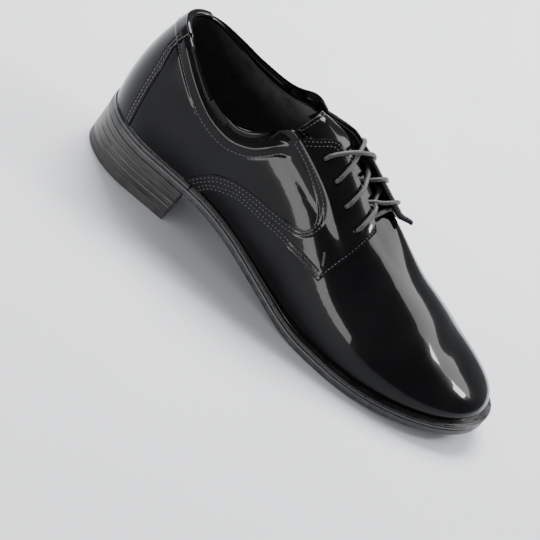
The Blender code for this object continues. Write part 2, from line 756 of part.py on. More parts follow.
def hole_cutter():
    """Round cutters square to the facing at each lace hole."""
    bm = bmesh.new()
    for (a, q) in hole_places().values():
        p = np.asarray(at(a, q, 7.0))
        n = np.asarray(form_normal(a, q))
        t = np.cross(n, [0, 1, 0])
        t /= np.linalg.norm(t)
        b = np.cross(n, t)
        low, high = [], []
        for k in range(16):
            w = 2 * PI * k / 16
            r = (t * math.cos(w) + b * math.sin(w)) * HOLE_R
            low.append(bm.verts.new(tuple(world(p + r - n * 3.2))))
            high.append(bm.verts.new(tuple(world(p + r + n * 3.2))))
        for k in range(16):
            j = (k + 1) % 16
            bm.faces.new((low[k], low[j], high[j], high[k]))
        bm.faces.new(tuple(reversed(low)))
        bm.faces.new(tuple(high))
    bmesh.ops.recalc_face_normals(bm, faces=bm.faces)
    me = bpy.data.meshes.new("hole_cutter")
    bm.to_mesh(me)
    bm.free()
    ob = bpy.data.objects.new("hole_cutter", me)
    bpy.context.scene.collection.objects.link(ob)
    ob.hide_render = True
    ob.display_type = "WIRE"
    return ob


def cut_holes(ob, cutter):
    m = ob.modifiers.new("lace_holes", "BOOLEAN")
    m.operation = "DIFFERENCE"
    m.solver = "EXACT"
    m.object = cutter


def eyelet(name, a, q, material):
    """Flat ring between facing and lining, following the form round the hole."""
    n = 12
    c = np.asarray(form(a, q))
    ta = (np.asarray(form(a + 1e-3, q)) - np.asarray(form(a - 1e-3, q))) / 2e-3
    tq = (np.asarray(form(a, q + 1e-3)) - np.asarray(form(a, q - 1e-3))) / 2e-3
    nn = np.asarray(form_normal(a, q))
    e1 = ta / np.linalg.norm(ta)
    e2 = np.cross(nn, e1)
    m = np.array([[ta @ e1, tq @ e1], [ta @ e2, tq @ e2]])
    inv = np.linalg.inv(m)
    rings = []
    for r in (2.55, 3.1):
        w = 2 * PI * np.arange(n) / n
        d = inv @ np.stack([np.cos(w) * r, np.sin(w) * r])
        rings.append((a + d[0], q + d[1]))
    fa = np.concatenate([rings[0][0], rings[1][0]])
    fq = np.concatenate([rings[0][1], rings[1][1]])
    p = form(fa, fq)
    nv = form_normal(fa, fq)
    lo = skin_offset(fa, fq, 1)
    hi = facing_offset(fa, fq, 0)
    mid = 0.64 * lo + 0.36 * hi
    outer = p + nv * (mid + 0.12)[:, None]
    inner = p + nv * (mid - 0.12)[:, None]
    faces = [(k, n + k, n + (k + 1) % n, (k + 1) % n) for k in range(n)]
    return shell(name, outer, inner, faces, material)


MEDIAL_SPAN = 0.80


def lace_path():
    """Centre line: (a, q, offset) places strung hole to hole, ends hanging inside the quarters."""
    h = hole_places()

    def place(side, k, dq, off, da=0.0):
        a, q = h[(side, k)]
        sign = 1 if side == "near" else -1
        return at(a + sign * da, q + dq, off)

    def bridge(p_from, p_to, profile):
        """Points over the gap between two edge places; profile rows are (fraction, offset)."""
        a0, x0 = p_from
        a1, x1 = p_to
        out = []
        for t, off in profile:
            a = a0 + (a1 - a0) * t
            x = x0 + (x1 - x0) * t
            s = float(station(a))
            u = a
            q = ridge_q(u, x)
            out.append(at(u if x <= 0 else 2 - u, q, off))
        return out

    def ridge_q(u, x):
        lo, hi = 0.3, 1.0
        for _ in range(30):
            mid = (lo + hi) / 2
            p = form(u if x <= 0 else 2 - u, mid)
            if abs(p[0] - float(centre(station(u)))) > abs(x):
                lo = mid
            else:
                hi = mid
        return (lo + hi) / 2

    def u_of(side, k):
        a = h[(side, k)][0]
        return a if side == "near" else 2 - a

    def cross(side0, k0, over0, side1, k1, over1, high=None):
        """Strand from one hole to the opposite one."""
        x0 = -17.4 if side0 == "near" else 17.4 * MEDIAL_SPAN
        x1 = -17.4 if side1 == "near" else 17.4 * MEDIAL_SPAN
        u0, u1 = u_of(side0, k0), u_of(side1, k1)
        span = x1 - x0
        rows = []

        def put(x, off):
            x = x * MEDIAL_SPAN if x > 0 else x
            rows.append(((x - x0) / span, off))
        d = 1 if x1 > x0 else -1
        if over0 and over1:
            mid = high if high else 9.6
            lift = LACE_OVER + (0.5 if high else 0)
            profile = ((-9.5, lift), (-3.0, mid), (3.0, mid), (9.5, lift))
        elif over0:
            profile = ((-12.5, LACE_OVER + 0.1), (-7.8, LACE_OVER), (-3.0, 7.8), (2.6, 7.3),
                       (6.2, LACE_UNDER + 0.1), (12.5, LACE_UNDER))
        elif over1:
            profile = ((-12.5, LACE_UNDER), (-5.5, LACE_UNDER), (1.2, LACE_UNDER + 0.1), (6.6, LACE_OVER),
                       (11.5, LACE_OVER + 0.1))
        else:
            profile = ((-9.0, LACE_UNDER), (0.0, LACE_UNDER), (9.0, LACE_UNDER))
        for x, off in profile:
            put(x * d, off)
        return bridge((u0, x0), (u1, x1), rows)

    def through(side, k, downward):
        """The turn through one hole, outside to inside or back."""
        step = 0.035
        pts = [place(side, k, step, LACE_OVER), place(side, k, 0.0, 8.9), place(side, k, 0.0, 4.5),
               place(side, k, step, LACE_UNDER)]
        return pts if downward else pts[::-1]

    def tail(side):
        sign = 1 if side == "near" else -1
        rows = [(0.437, 0.655, 3.3), (0.442, 0.60, 0.6), (0.452, 0.51, -1.4), (0.474, 0.39, -2.0),
                (0.500, 0.28, -2.0), (0.540, 0.20, -2.2), (0.590, 0.15, -2.4), (0.645, 0.145, -2.4)]
        lead = [MEDIAL_AHEAD * max(0.0, 1 - k / 5) for k in range(len(rows))]
        return [at(a if side == "near" else 2 - a - m, q, off) for (a, q, off), m in zip(rows, lead)]

    pts = tail("far")[::-1]
    pts += [place("far", 1, 0.0, 4.5), place("far", 1, 0.0, 8.9), place("far", 1, 0.035, LACE_OVER)]
    pts += cross("far", 1, True, "near", 2, True)
    pts += through("near", 2, True)
    pts += cross("near", 2, False, "far", 3, True)
    pts += through("far", 3, True)
    pts += cross("far", 3, False, "near", 4, True)
    pts += through("near", 4, True)
    pts += cross("near", 4, False, "far", 4, False)
    pts += through("far", 4, False)
    pts += cross("far", 4, True, "near", 3, False)
    pts += through("near", 3, False)
    pts += cross("near", 3, True, "far", 2, False)
    pts += through("far", 2, False)
    pts += cross("far", 2, True, "near", 1, True, high=12.4)
    pts += [place("near", 1, 0.035, LACE_OVER), place("near", 1, 0.0, 8.9), place("near", 1, 0.0, 4.5)]
    pts += tail("near")
    return [np.asarray(p, float) for p in pts]


def cord(name, points, radius, material):
    cu = bpy.data.curves.new(name, "CURVE")
    cu.dimensions = "3D"
    cu.bevel_depth = radius * MM
    cu.bevel_resolution = 2
    cu.render_resolution_u = 0
    cu.use_fill_caps = True
    sp = cu.splines.new("POLY")
    sp.points.add(len(points) - 1)
    for k, p in enumerate(points):
        sp.points[k].co = (*world(p), 1)
    cu.materials.append(material)
    ob = bpy.data.objects.new(name, cu)
    bpy.context.scene.collection.objects.link(ob)
    return ob


def rod(name, p, q, radius, material, sides=12):
    """Straight round bar between two points."""
    p = np.asarray(p, float)
    q = np.asarray(q, float)
    d = (q - p) / np.linalg.norm(q - p)
    t = np.cross(d, [0, 0, 1])
    t /= np.linalg.norm(t)
    b = np.cross(d, t)
    pts = []
    for end in (p, q):
        for k in range(sides):
            w = 2 * PI * k / sides
            pts.append(end + (t * math.cos(w) + b * math.sin(w)) * radius)
    faces = [(k, (k + 1) % sides, sides + (k + 1) % sides, sides + k) for k in range(sides)]
    faces += [tuple(range(sides))[::-1], tuple(range(sides, 2 * sides))]
    return add_mesh(name, pts, faces, material)


# ---- assembly ------------------------------------------------------------------------------
def build():
    start_clean()
    mats = {
        "patent": finish_material("patent_leather", (0.012, 0.012, 0.013), 0.08),
        "skin": finish_material("lining_leather", (0.035, 0.033, 0.032), 0.6),
        "sock": finish_material("sock_leather", (0.09, 0.09, 0.095), 0.65),
        "board": finish_material("insole_board", (0.28, 0.2, 0.13), 0.8),
        "cork": finish_material("cork", (0.35, 0.22, 0.12), 0.9),
        "foam": finish_material("collar_foam", (0.25, 0.25, 0.24), 0.95),
        "stiff": finish_material("stiffener", (0.5, 0.46, 0.38), 0.85),
        "steel": finish_material("shank_steel", (0.5, 0.5, 0.5), 0.35, 1.0),
        "eyelet": finish_material("eyelet_metal", (0.2, 0.2, 0.2), 0.35, 1.0),
        "welt": finish_material("welt_rubber", (0.016, 0.016, 0.016), 0.4),
        "outsole": finish_material("outsole_rubber", (0.018, 0.018, 0.018), 0.55),
        "rubber": finish_material("heel_rubber", (0.02, 0.02, 0.02), 0.6),
        "stack": finish_material("stacked_heel", (0.05, 0.042, 0.038), 0.35),
        "lace": finish_material("lace_cotton", (0.04, 0.04, 0.042), 0.7),
        "aglet": finish_material("aglet_plastic", (0.02, 0.02, 0.02), 0.25),
    }
    lifts(mats)
    heel_block(mats)
    shank(mats["steel"])
    sock(mats["sock"])
    cutter = hole_cutter()
    for lateral in (True, False):
        quarter(lateral, mats["patent"])
        cut_holes(facing(lateral, mats["patent"]), cutter)
        cut_holes(skin_quarter(lateral, mats["skin"]), cutter)
    backstrap(mats["patent"])
    forepart("vamp", vamp_start, flat_offset(LEATHER), mats["patent"])
    forepart("vamp_lining", vamp_skin_start, flat_offset(SKIN), mats["skin"])
    toe_puff(mats["stiff"])
    heel_counter(mats["stiff"])
    collar_padding(mats["foam"])
    tongue = tongue_panel("tongue", TONGUE_LEATHER, 0.5, mats["patent"])
    tongue_skin = tongue_panel("tongue_lining", TONGUE_SKIN, 0.0, mats["skin"])
    base = at(TONGUE_BASE, 1.0, 1.1)
    pivot = bpy.data.objects.new("tongue_hinge", None)
    bpy.context.scene.collection.objects.link(pivot)
    pivot.location = tuple(world(base))
    bpy.context.view_layer.update()
    for ob in (tongue, tongue_skin):
        ob.parent = pivot
        ob.matrix_parent_inverse = pivot.matrix_world.inverted()
    path = lace_path()
    cord("lace", path, LACE_R, mats["lace"])
    for name, end, a_tip in (("aglet_medial", path[0], 2 - 0.684), ("aglet_lateral", path[-1], 0.684)):
        tip = at(a_tip, 0.15, -3.4)
        d = (tip - end) / np.linalg.norm(tip - end)
        rod(name, end + d * 1.6, end + d * 17.0, 1.25, mats["aglet"])
    for (side, k), (a, q) in hole_places().items():
        word = "lateral" if side == "near" else "medial"
        eyelet("eyelet_%s_%d" % (word, k), a, q, mats["eyelet"])
    ends = np.diff(np.array(path), axis=0)
    print("lace length mm", round(float(np.linalg.norm(ends, axis=1).sum()), 1), "points", len(path))


build()
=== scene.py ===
"""Looks of a black patent-leather derby shoe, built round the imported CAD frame.

Every leather surface follows the CAD's foot form: a place on it is (a, q), where a runs round the
shoe (0 heel, 1 toe tip, 2 heel again) and q runs from the feather line (0) to the ridge (1).
Lengths are in millimetres until they become mesh coordinates.
"""
import math

import bmesh
import bpy
import numpy as np
from mathutils import Matrix


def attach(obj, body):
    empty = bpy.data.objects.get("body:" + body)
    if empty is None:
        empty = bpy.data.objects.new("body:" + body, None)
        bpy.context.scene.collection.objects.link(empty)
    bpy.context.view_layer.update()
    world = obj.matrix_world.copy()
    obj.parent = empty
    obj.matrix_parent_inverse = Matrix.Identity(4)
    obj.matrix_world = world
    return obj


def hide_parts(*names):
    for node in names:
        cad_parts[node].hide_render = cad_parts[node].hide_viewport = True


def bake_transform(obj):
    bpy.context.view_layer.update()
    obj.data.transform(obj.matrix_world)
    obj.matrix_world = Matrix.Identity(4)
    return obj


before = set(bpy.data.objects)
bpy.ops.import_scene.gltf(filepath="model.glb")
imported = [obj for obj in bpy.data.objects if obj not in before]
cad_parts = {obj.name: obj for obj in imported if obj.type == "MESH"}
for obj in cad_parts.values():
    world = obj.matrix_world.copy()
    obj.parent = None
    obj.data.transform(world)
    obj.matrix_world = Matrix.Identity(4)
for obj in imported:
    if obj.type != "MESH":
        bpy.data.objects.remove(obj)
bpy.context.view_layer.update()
MM = 0.001
PI = math.pi

# ---- foot form (same driving dimensions as the CAD) -----------------------------------------
LENGTH = 300.0
FORM_BACK = 4.4
FORM_LENGTH = 285.2
HEEL_BREAST = 70.0
HEEL_HEIGHT = 23.0
HEEL_RISE = 1.5
TREAD_START = 184.0
TREAD_END = 208.0
TOE_SPRING = 11.0
TOE_SWING = 10.0
OUTSOLE_T = 5.0
SEAT_T = 8.6
LACE_R = 1.3
TOP_PIECE_T = 6.0
LIFT_COUNT = 4
# moves the outline so its bounding box is centred on the origin
ORIGIN_SHIFT = (-1.51, -2.09, 0.0)

# half widths of the foot form at the feather line, (distance from heel back, width)
FORM_LATERAL = [(0, 31), (60, 31), (100, 31.5), (140, 36), (180, 45.5), (208, 49.8), (225, 50.3),
                (300, 50.3)]
FORM_MEDIAL = [(0, 30), (60, 30), (90, 26.5), (115, 24.5), (150, 29), (180, 37.5), (205, 43), (225, 44),
               (300, 44)]
TOE_CAP_START = 215.0
HEEL_CAP = 36.0
CAP_POWER_LATERAL = 2.1
CAP_POWER_MEDIAL = 2.3
# ridge height over the seat, section squareness and side swell along the form
RIDGE = [(0, 86), (40, 86), (100, 81.5), (130, 76), (160, 66.5), (185, 57.5), (210, 48.5), (235, 39),
         (255, 30), (300, 20)]
SQUARENESS = [(0, 2.6), (60, 2.45), (110, 2.45), (150, 2.45), (190, 2.2), (230, 2.15), (262, 2.25),
              (300, 2.3)]
SWELL = [(0, 3.5), (40, 3.0), (90, 1.5), (130, 1.5), (190, 2.0), (240, 1.5), (300, 1.0)]
# how far the medial shoulder of the instep stands over the mirrored lateral one
INSTEP_RISE = [(0, 0), (100, 0), (120, 3), (140, 6), (165, 7.5), (178, 7.5), (192, 4.5), (205, 1.5),
               (218, 0), (300, 0)]
# sole edge beyond the feather line
EDGE = [(0, 4.6), (60, 4.6), (95, 4.6), (140, 5.6), (190, 7.0), (300, 8.4)]
# where the ridge gathers towards its toe and heel ends, and where its profile rounds down to the toe
TOE_POLE = 250.0
TOE_PULL_START = 205.0
HEEL_PULL = 26.0
HEEL_PULL_END = 60.0
TOE_ROUND_START = 216.0
TOE_ROUND_POWER = 2.3
# the form bends towards the big toe ahead of here
SWING_START = 150.0


def curve(rows):
    """Shape-preserving cubic through (position, value) rows."""
    px = np.array([r[0] for r in rows], float)
    py = np.array([r[1] for r in rows], float)
    h = np.diff(px)
    d = np.diff(py) / h
    m = np.zeros(len(px))
    for i in range(1, len(px) - 1):
        if d[i - 1] * d[i] > 0:
            w1 = 2 * h[i] + h[i - 1]
            w2 = h[i] + 2 * h[i - 1]
            m[i] = (w1 + w2) / (w1 / d[i - 1] + w2 / d[i])
    if len(px) == 2:
        m[:] = d[0]

    def value(s):
        s = np.asarray(s, float)
        i = np.clip(np.searchsorted(px, s) - 1, 0, len(px) - 2)
        w = px[i + 1] - px[i]
        t = np.clip((s - px[i]) / w, 0, 1)
        t2 = t * t
        t3 = t2 * t
        return ((2 * t3 - 3 * t2 + 1) * py[i] + (t3 - 2 * t2 + t) * w * m[i]
                + (3 * t2 - 2 * t3) * py[i + 1] + (t3 - t2) * w * m[i + 1])
    return value


def unit(v):
    return v / np.linalg.norm(v, axis=-1, keepdims=True)


def smooth(t):
    t = np.clip(t, 0, 1)
    return t * t * (3 - 2 * t)


width_lateral = curve(FORM_LATERAL)
width_medial = curve(FORM_MEDIAL)
ridge_height = curve(RIDGE)
squareness = curve(SQUARENESS)
swell = curve(SWELL)
edge_width = curve(EDGE)
instep_rise = curve(INSTEP_RISE)
FORM_TOE = FORM_BACK + FORM_LENGTH


def centre(s):
    """Middle of the form across the shoe."""
    return TOE_SWING * smooth((s - SWING_START) / (LENGTH - SWING_START))


def cap(t, n):
    """Rounded end of power n: 1 at t = 0, 0 at t = 1."""
    return np.maximum(1 - np.clip(t, 0, 1) ** n, 0) ** (1 / n)


def half_width(lateral, s):
    w = np.where(lateral, width_lateral(s), width_medial(s))
    n = np.where(lateral, CAP_POWER_LATERAL, CAP_POWER_MEDIAL)
    w = w * cap((s - TOE_CAP_START) / (FORM_TOE - TOE_CAP_START), n)
    return w * cap((FORM_BACK + HEEL_CAP - s) / HEEL_CAP, 2.0)


def station(a):
    """Distance from the heel back of the feather point at a."""
    u = np.where(a % 2.0 <= 1, a % 2.0, 2 - a % 2.0)
    return FORM_BACK + FORM_LENGTH / 2 * (1 - np.cos(PI * u))


def feather(a):
    """Feather line point (x, s)."""
    a = np.asarray(a, float) % 2.0
    s = station(a)
    lateral = a <= 1
    return centre(s) + np.where(lateral, -1, 1) * half_width(lateral, s), s


def feather_normal(a):
    """Outward direction (x, s) of the feather line."""
    h = 1e-3
    x1, s1 = feather(np.asarray(a, float) + h)
    x0, s0 = feather(np.asarray(a, float) - h)
    tx = x1 - x0
    ts = s1 - s0
    n = np.hypot(tx, ts)
    return -ts / n, tx / n


def sole_z(s):
    """Underside of the outsole."""
    s = np.asarray(s, float)
    rise = np.clip((s - TREAD_END) / (LENGTH - TREAD_END), 0, 1.1)
    z = TOE_SPRING * rise ** 1.7
    arch = HEEL_HEIGHT * smooth((TREAD_START - s) / (TREAD_START - HEEL_BREAST))
    z = np.where(s < TREAD_START, arch, z)
    return np.where(s < HEEL_BREAST, HEEL_HEIGHT + HEEL_RISE * (1 - s / HEEL_BREAST), z)


def seat_z(s):
    """Top of the insole, where the upper starts."""
    return sole_z(s) + SEAT_T


def spine(a):
    """Ridge point (x, s, z) facing the feather point at a."""
    s = station(a)
    t = np.clip((s - TOE_PULL_START) / (FORM_TOE - TOE_PULL_START), 0, 1)
    reach = TOE_POLE - TOE_PULL_START
    slope = (FORM_TOE - TOE_PULL_START) / reach
    sp = np.where(s > TOE_PULL_START, TOE_PULL_START + reach * (1 - (1 - t) ** slope), s)
    sp = sp + HEEL_PULL * np.clip((HEEL_PULL_END - s) / HEEL_PULL_END, 0, 2) ** 2
    return centre(sp), sp, seat_z(sp) + ridge_height(sp)


def toe_round(s):
    """Round-off of the ridge profile down to the toe tip."""
    return cap((s - TOE_ROUND_START) / (FORM_TOE - TOE_ROUND_START), TOE_ROUND_POWER)


def form(a, q):
    """Foot form surface, array (..., 3) in mm."""
    a, q = np.broadcast_arrays(np.asarray(a, float), np.asarray(q, float))
    over = q > 1
    a = np.where(over, 2 - a, a) % 2.0
    q = np.clip(np.where(over, 2 - q, q), 0, 1)
    around = np.where(a <= 1, q, 2 - q)
    shoulder = smooth((around - 0.85) / 0.35) * (1 - smooth((around - 1.45) / 0.45))
    fx, fs = feather(a)
    sx, ss, sz = spine(a)
    n = squareness(fs)
    tau = q * PI / 2
    hor = 1 - np.maximum(np.cos(tau), 0) ** (2 / n)
    ver = np.sin(tau) ** (2 / n)
    x = fx + (sx - fx) * hor
    s = fs + (ss - fs) * hor
    z_rib = seat_z(fs) + (sz - seat_z(fs)) * ver
    w = half_width(a <= 1, s)
    xi = np.clip(np.abs(x - centre(s)) / np.maximum(w, 1e-6), 0, 1)
    n2 = squareness(s)
    top = ridge_height(s) * toe_round(s)
    z_slice = seat_z(s) + top * np.maximum(1 - xi ** n2, 0) ** (1 / n2)
    # ribs from the feather to the ridge behind the ball, upright slices ahead of it
    mix = smooth((fs - 175.0) / 30.0)
    z = z_rib + (z_slice - z_rib) * mix + instep_rise(s) * shoulder
    nx, ns = feather_normal(a)
    b = swell(fs) * np.sin(ver ** 0.8 * PI)
    return np.stack([x + nx * b, LENGTH / 2 - (s + ns * b), z], -1)


def form_normal(a, q, h):
    a, q = np.broadcast_arrays(np.asarray(a, float), np.asarray(q, float))
    q = np.where(np.abs(a - 1) < 0.02, np.minimum(q, 0.99), q)
    ta = form(a + h, q) - form(a - h, q)
    tq = form(a, q + h) - form(a, np.maximum(q - h, 0))
    n = np.cross(ta, tq)
    return n / np.maximum(np.linalg.norm(n, axis=-1, keepdims=True), 1e-12)


# ---- seam lines on the form, (a, q) from the lateral side ----------------------------------
# where the top line meets the facings
TOPLINE_END = 0.387
TOPLINE_LATERAL = [(0.0, 0.53), (0.05, 0.53), (0.098, 0.52), (0.163, 0.47), (0.208, 0.405), (0.242, 0.35),
                   (0.283, 0.300), (0.315, 0.284), (0.350, 0.335), (TOPLINE_END, 0.525)]
TOPLINE_MEDIAL = [(0.0, 0.53), (0.05, 0.53), (0.098, 0.525), (0.163, 0.492), (0.208, 0.458), (0.242, 0.438),
                  (0.283, 0.42), (0.315, 0.425), (0.350, 0.468), (TOPLINE_END, 0.558)]
FACING_TOP = [(0.398, 0.605), (0.410, 0.675), (0.420, 0.748), (0.428, 0.82), (0.437, 0.862), (0.451, 0.882)]
LACE_EDGE = [(0.487, 0.887), (0.530, 0.884), (0.551, 0.842)]
FACING_TOP_MEDIAL = [(0.404, 0.61), (0.423, 0.68), (0.438, 0.75), (0.449, 0.82), (0.459, 0.862),
                     (0.473, 0.882)]
LACE_EDGE_MEDIAL = [(0.508, 0.887), (0.556, 0.887), (0.578, 0.850)]
FRONT_SEAM = [(0.551, 0.842), (0.550, 0.68), (0.548, 0.52), (0.542, 0.278)]
FRONT_SEAM_MEDIAL = [(0.578, 0.850), (0.572, 0.68), (0.558, 0.48), (0.542, 0.278)]
BAND_SEAM = [(0.542, 0.278), (0.487, 0.198), (0.433, 0.127), (0.385, 0.085), (0.347, 0.030), (0.337, 0.0)]
QUARTER_SEAM = [(0.425, 0.518), (0.462, 0.493), (0.482, 0.46), (0.490, 0.405), (0.485, 0.335), (0.463, 0.265),
                (0.430, 0.21), (0.393, 0.165), (0.362, 0.13), (0.338, 0.09), (0.310, 0.015), (0.305, 0.0)]
STRAP_TOP = 0.112
STRAP_SEAM = [(0.108, 0.39), (0.133, 0.25), (0.145, 0.12), (0.157, 0.0)]
# lacing holes of the lateral facing, top one first
HOLES = [(0.438, 0.68), (0.468, 0.68), (0.499, 0.672), (0.530, 0.675)]
# how far the medial facing runs ahead of the lateral one
MEDIAL_AHEAD = 0.0215
# where the vamp ends beneath the facings, (q, a)
UNDERLAP = [(0.0, 0.520), (0.40, 0.520), (0.60, 0.540), (0.86, 0.5405), (1.0, 0.548)]
UNDERLAP_MEDIAL = [(0.0, 0.520), (0.38, 0.520), (0.56, 0.558), (0.80, 0.563), (0.92, 0.558), (1.0, 0.548)]
# hinge end and free end of the tongue, its edge (a, q), and how far it lies under the form at its top
TONGUE_BASE = 0.537
TONGUE_TOP = 0.398
TONGUE_SIDE = [(0.37, 0.54), (0.39, 0.56), (0.412, 0.64), (0.436, 0.765), (0.48, 0.79), (0.54, 0.815)]
TONGUE_CREST_SAG = 3.0
TONGUE_SIDE_SAG = 8.5
# the medial facing's front corner stands up
WING_LIFT = 5.5

# inner and outer face of each layer off the form (mm), and how far the facings stand off where the
# laces and the tongue pass beneath them
SKIN = (0.0, 0.8)
LEATHER = (2.4, 3.7)
TONGUE_LEATHER = (1.05, 2.05)
SKIN_LIFT = 5.75
LEATHER_LIFT = 4.7
VAMP_LIFT = 1.75
# the lace's centre line above and beneath the facings
LACE_OVER = 10.5
LACE_UNDER = 4.05

underlap = curve(UNDERLAP)
underlap_medial = curve(UNDERLAP_MEDIAL)
tongue_side = curve(TONGUE_SIDE)


def folded(a):
    """The lateral place that mirrors a."""
    return np.where(a <= 1, a, 2 - a)


def under(q, lateral):
    """Where the vamp ends beneath the facings."""
    return underlap(q) if lateral else underlap_medial(q)


def lace_lift(a, q):
    """0 on the plain upper, 1 where the facings clear the tongue and laces."""
    u = folded(a)
    end = 0.572 + np.where(a <= 1, 0, MEDIAL_AHEAD)
    return (smooth((q - 0.40) / 0.20) * smooth((end - u) / 0.036) * smooth((u - 0.32) / 0.06)
            * smooth((np.minimum(q, 1) - 0.40) / 0.20))


def skin_offset(a, q, level):
    return SKIN[level] + (SKIN_LIFT + (0 if level == 0 else -0.2)) * lace_lift(a, q)


def facing_offset(a, q, level):
    """Facings over the vamp, the tongue and the laces."""
    u = folded(a)
    rise = VAMP_LIFT * smooth((u - 0.455) / 0.045)
    k = lace_lift(a, q)
    top = 0.1 if level else 0.0
    wing = WING_LIFT * smooth((u - 0.562) / 0.018) * smooth((q - 0.62) / 0.20) * (a > 1)
    return LEATHER[level] + rise + (LEATHER_LIFT - rise - top) * k + wing


# ---- smooth surface lattice ----------------------------------------------------------------
NA, NQ = 560, 120


def blur(values, along_a, along_q, keep_foot):
    """Gaussian smoothing of a lattice: periodic round a, mirrored over the ridge in q."""
    def kernel(sigma):
        k = np.arange(-int(3 * sigma), int(3 * sigma) + 1)
        w = np.exp(-0.5 * (k / sigma) ** 2)
        return k, w / w.sum()
    ks, ws = kernel(along_a)
    out = sum(w * np.roll(values, -k, axis=0) for k, w in zip(ks, ws))
    ks, ws = kernel(along_q)
    pad = int(ks[-1])
    mirror = out[(-np.arange(NA)) % NA]
    top = mirror[:, NQ - pad:NQ][:, ::-1]
    low = out[:, 1:pad + 1][:, ::-1]
    if keep_foot:
        low = 2 * out[:, :1] - low
    full = np.concatenate([low, out, top], axis=1)
    return sum(w * full[:, pad + k:pad + k + NQ + 1] for k, w in zip(ks, ws))


def sampler(lat, keep_foot):
    """Bicubic lookup of a lattice at any (a, q); q over 1 runs on down the other side."""
    top = lat[(-np.arange(NA)) % NA][:, NQ - 2:NQ][:, ::-1]
    low = 2 * lat[:, :1] - lat[:, 1:2] if keep_foot else lat[:, 1:2]
    ext = np.concatenate([low, lat, top], axis=1)

    def weights(t):
        t2 = t * t
        t3 = t2 * t
        return (0.5 * (-t3 + 2 * t2 - t), 0.5 * (3 * t3 - 5 * t2 + 2),
                0.5 * (-3 * t3 + 4 * t2 + t), 0.5 * (t3 - t2))

    def value(a, q):
        a, q = np.broadcast_arrays(np.asarray(a, float), np.asarray(q, float))
        over = q > 1
        a = np.where(over, 2 - a, a) % 2.0
        q = np.clip(np.where(over, 2 - q, q), 0, 1)
        x = a * NA / 2
        y = q * NQ
        i = np.floor(x).astype(int)
        j = np.minimum(np.floor(y).astype(int), NQ - 1)
        wx = weights(x - i)
        wy = weights(y - j)
        out = 0
        for m in range(4):
            for n in range(4):
                out = out + ext[(i + m - 1) % NA, j + n] * (wx[m] * wy[n])[..., None]
        return out
    return value


def build_lattice():
    a = np.arange(NA) * 2.0 / NA
    q = np.linspace(0, 1, NQ + 1)
    aa, qq = np.meshgrid(a, q, indexing="ij")
    points = blur(form(aa, qq), 4.0, 2.5, True)
    normals = unit(blur(form_normal(aa, qq, 3e-3), 3.0, 3.0, False))
    return sampler(points, True), sampler(normals, False)


point_at, raw_normal_at = build_lattice()


def normal_at(a, q):
    return unit(raw_normal_at(a, q))


def surface(a, q, off):
    """Places off mm outside the form."""
    off = np.asarray(off, float)
    return point_at(a, q) + normal_at(a, q) * (off[..., None] if off.ndim else off)


def steps_of(a, q):
    """Surface tangents per unit a and per unit q."""
    h = 1.5e-3
    return ((point_at(a + h, q) - point_at(a - h, q)) / (2 * h),
            (point_at(a, q + h) - point_at(a, q - h)) / (2 * h))


def sideways(line, dist):
    """Moves a line of (a, q) places across the surface by dist mm, left of its direction."""
    line = np.asarray(line, float)
    a, q = line[:, 0], line[:, 1]
    side = np.cross(normal_at(a, q), unit(np.gradient(point_at(a, q), axis=0))) * dist
    ta, tq = steps_of(a, q)
    aa = (ta * ta).sum(1)
    bb = (ta * tq).sum(1)
    cc = (tq * tq).sum(1)
    u = (side * ta).sum(1)
    v = (side * tq).sum(1)
    det = aa * cc - bb * bb
    return line + np.stack([(cc * u - bb * v) / det, (aa * v - bb * u) / det], 1)


def along(rows, count):
    """A line of (a, q) places, spaced evenly over the form."""
    p = np.array(rows, float)
    xyz = point_at(p[:, 0], p[:, 1])
    d = np.r_[0, np.cumsum(np.linalg.norm(np.diff(xyz, axis=0), axis=1))]
    t = np.linspace(0, 1, count) * d[-1]
    return np.stack([np.interp(t, d, p[:, 0]), np.interp(t, d, p[:, 1])], -1)


def soften(points, passes):
    p = np.array(points, float)
    for _ in range(passes):
        p[1:-1] = 0.25 * p[:-2] + 0.5 * p[1:-1] + 0.25 * p[2:]
    return p


def smooth_line(rows, passes=24, count=161):
    return soften(along(soften(along(rows, count), passes), count), 2)


def mirror(line, lateral):
    """A line drawn for the lateral side, put on its own side of the shoe."""
    line = np.array(line, float)
    if not lateral:
        line[..., 0] = 2 - line[..., 0]
    return line


def across(line, dist, lateral):
    """A line on its own side of the shoe, moved dist mm over the surface."""
    return sideways(mirror(line, lateral), dist if lateral else -dist)


def side_name(base, lateral):
    return base + ("_lateral" if lateral else "_medial")


def nearest(points, line, chunk=4000):
    """Distance (mm) from each point to a densely sampled line."""
    shape = points.shape[:-1]
    p = points.reshape(-1, 3)
    out = np.empty(len(p))
    for i in range(0, len(p), chunk):
        d = ((p[i:i + chunk, None] - line[None]) ** 2).sum(-1)
        out[i:i + chunk] = np.sqrt(d.min(1))
    return out.reshape(shape)


def dense(line, off=3.0):
    """A line of (a, q) places as close points off mm outside the form."""
    f = along(line, 500)
    return surface(f[:, 0], f[:, 1], off)


def patch(left, right, top, u, v):
    """Four-sided patch of (a, q) places down to the feather line, at fractions u across and v down."""
    bottom = np.stack([np.linspace(left[-1, 0], right[-1, 0], 60), np.zeros(60)], -1)

    def pick(line, t):
        d = np.linspace(0, 1, len(line))
        return np.stack([np.interp(t, d, line[:, 0]), np.interp(t, d, line[:, 1])], -1)
    lf = pick(left, v)[:, None]
    rt = pick(right, v)[:, None]
    u, tp, bt = u[None, :, None], pick(top, u)[None], pick(bottom, u)[None]
    v = v[:, None, None]
    corner = (lf[0, 0] * (1 - u) * (1 - v) + rt[0, 0] * u * (1 - v)
              + lf[-1, 0] * (1 - u) * v + rt[-1, 0] * u * v)
    return lf * (1 - u) + rt * u + tp * (1 - v) + bt * v - corner


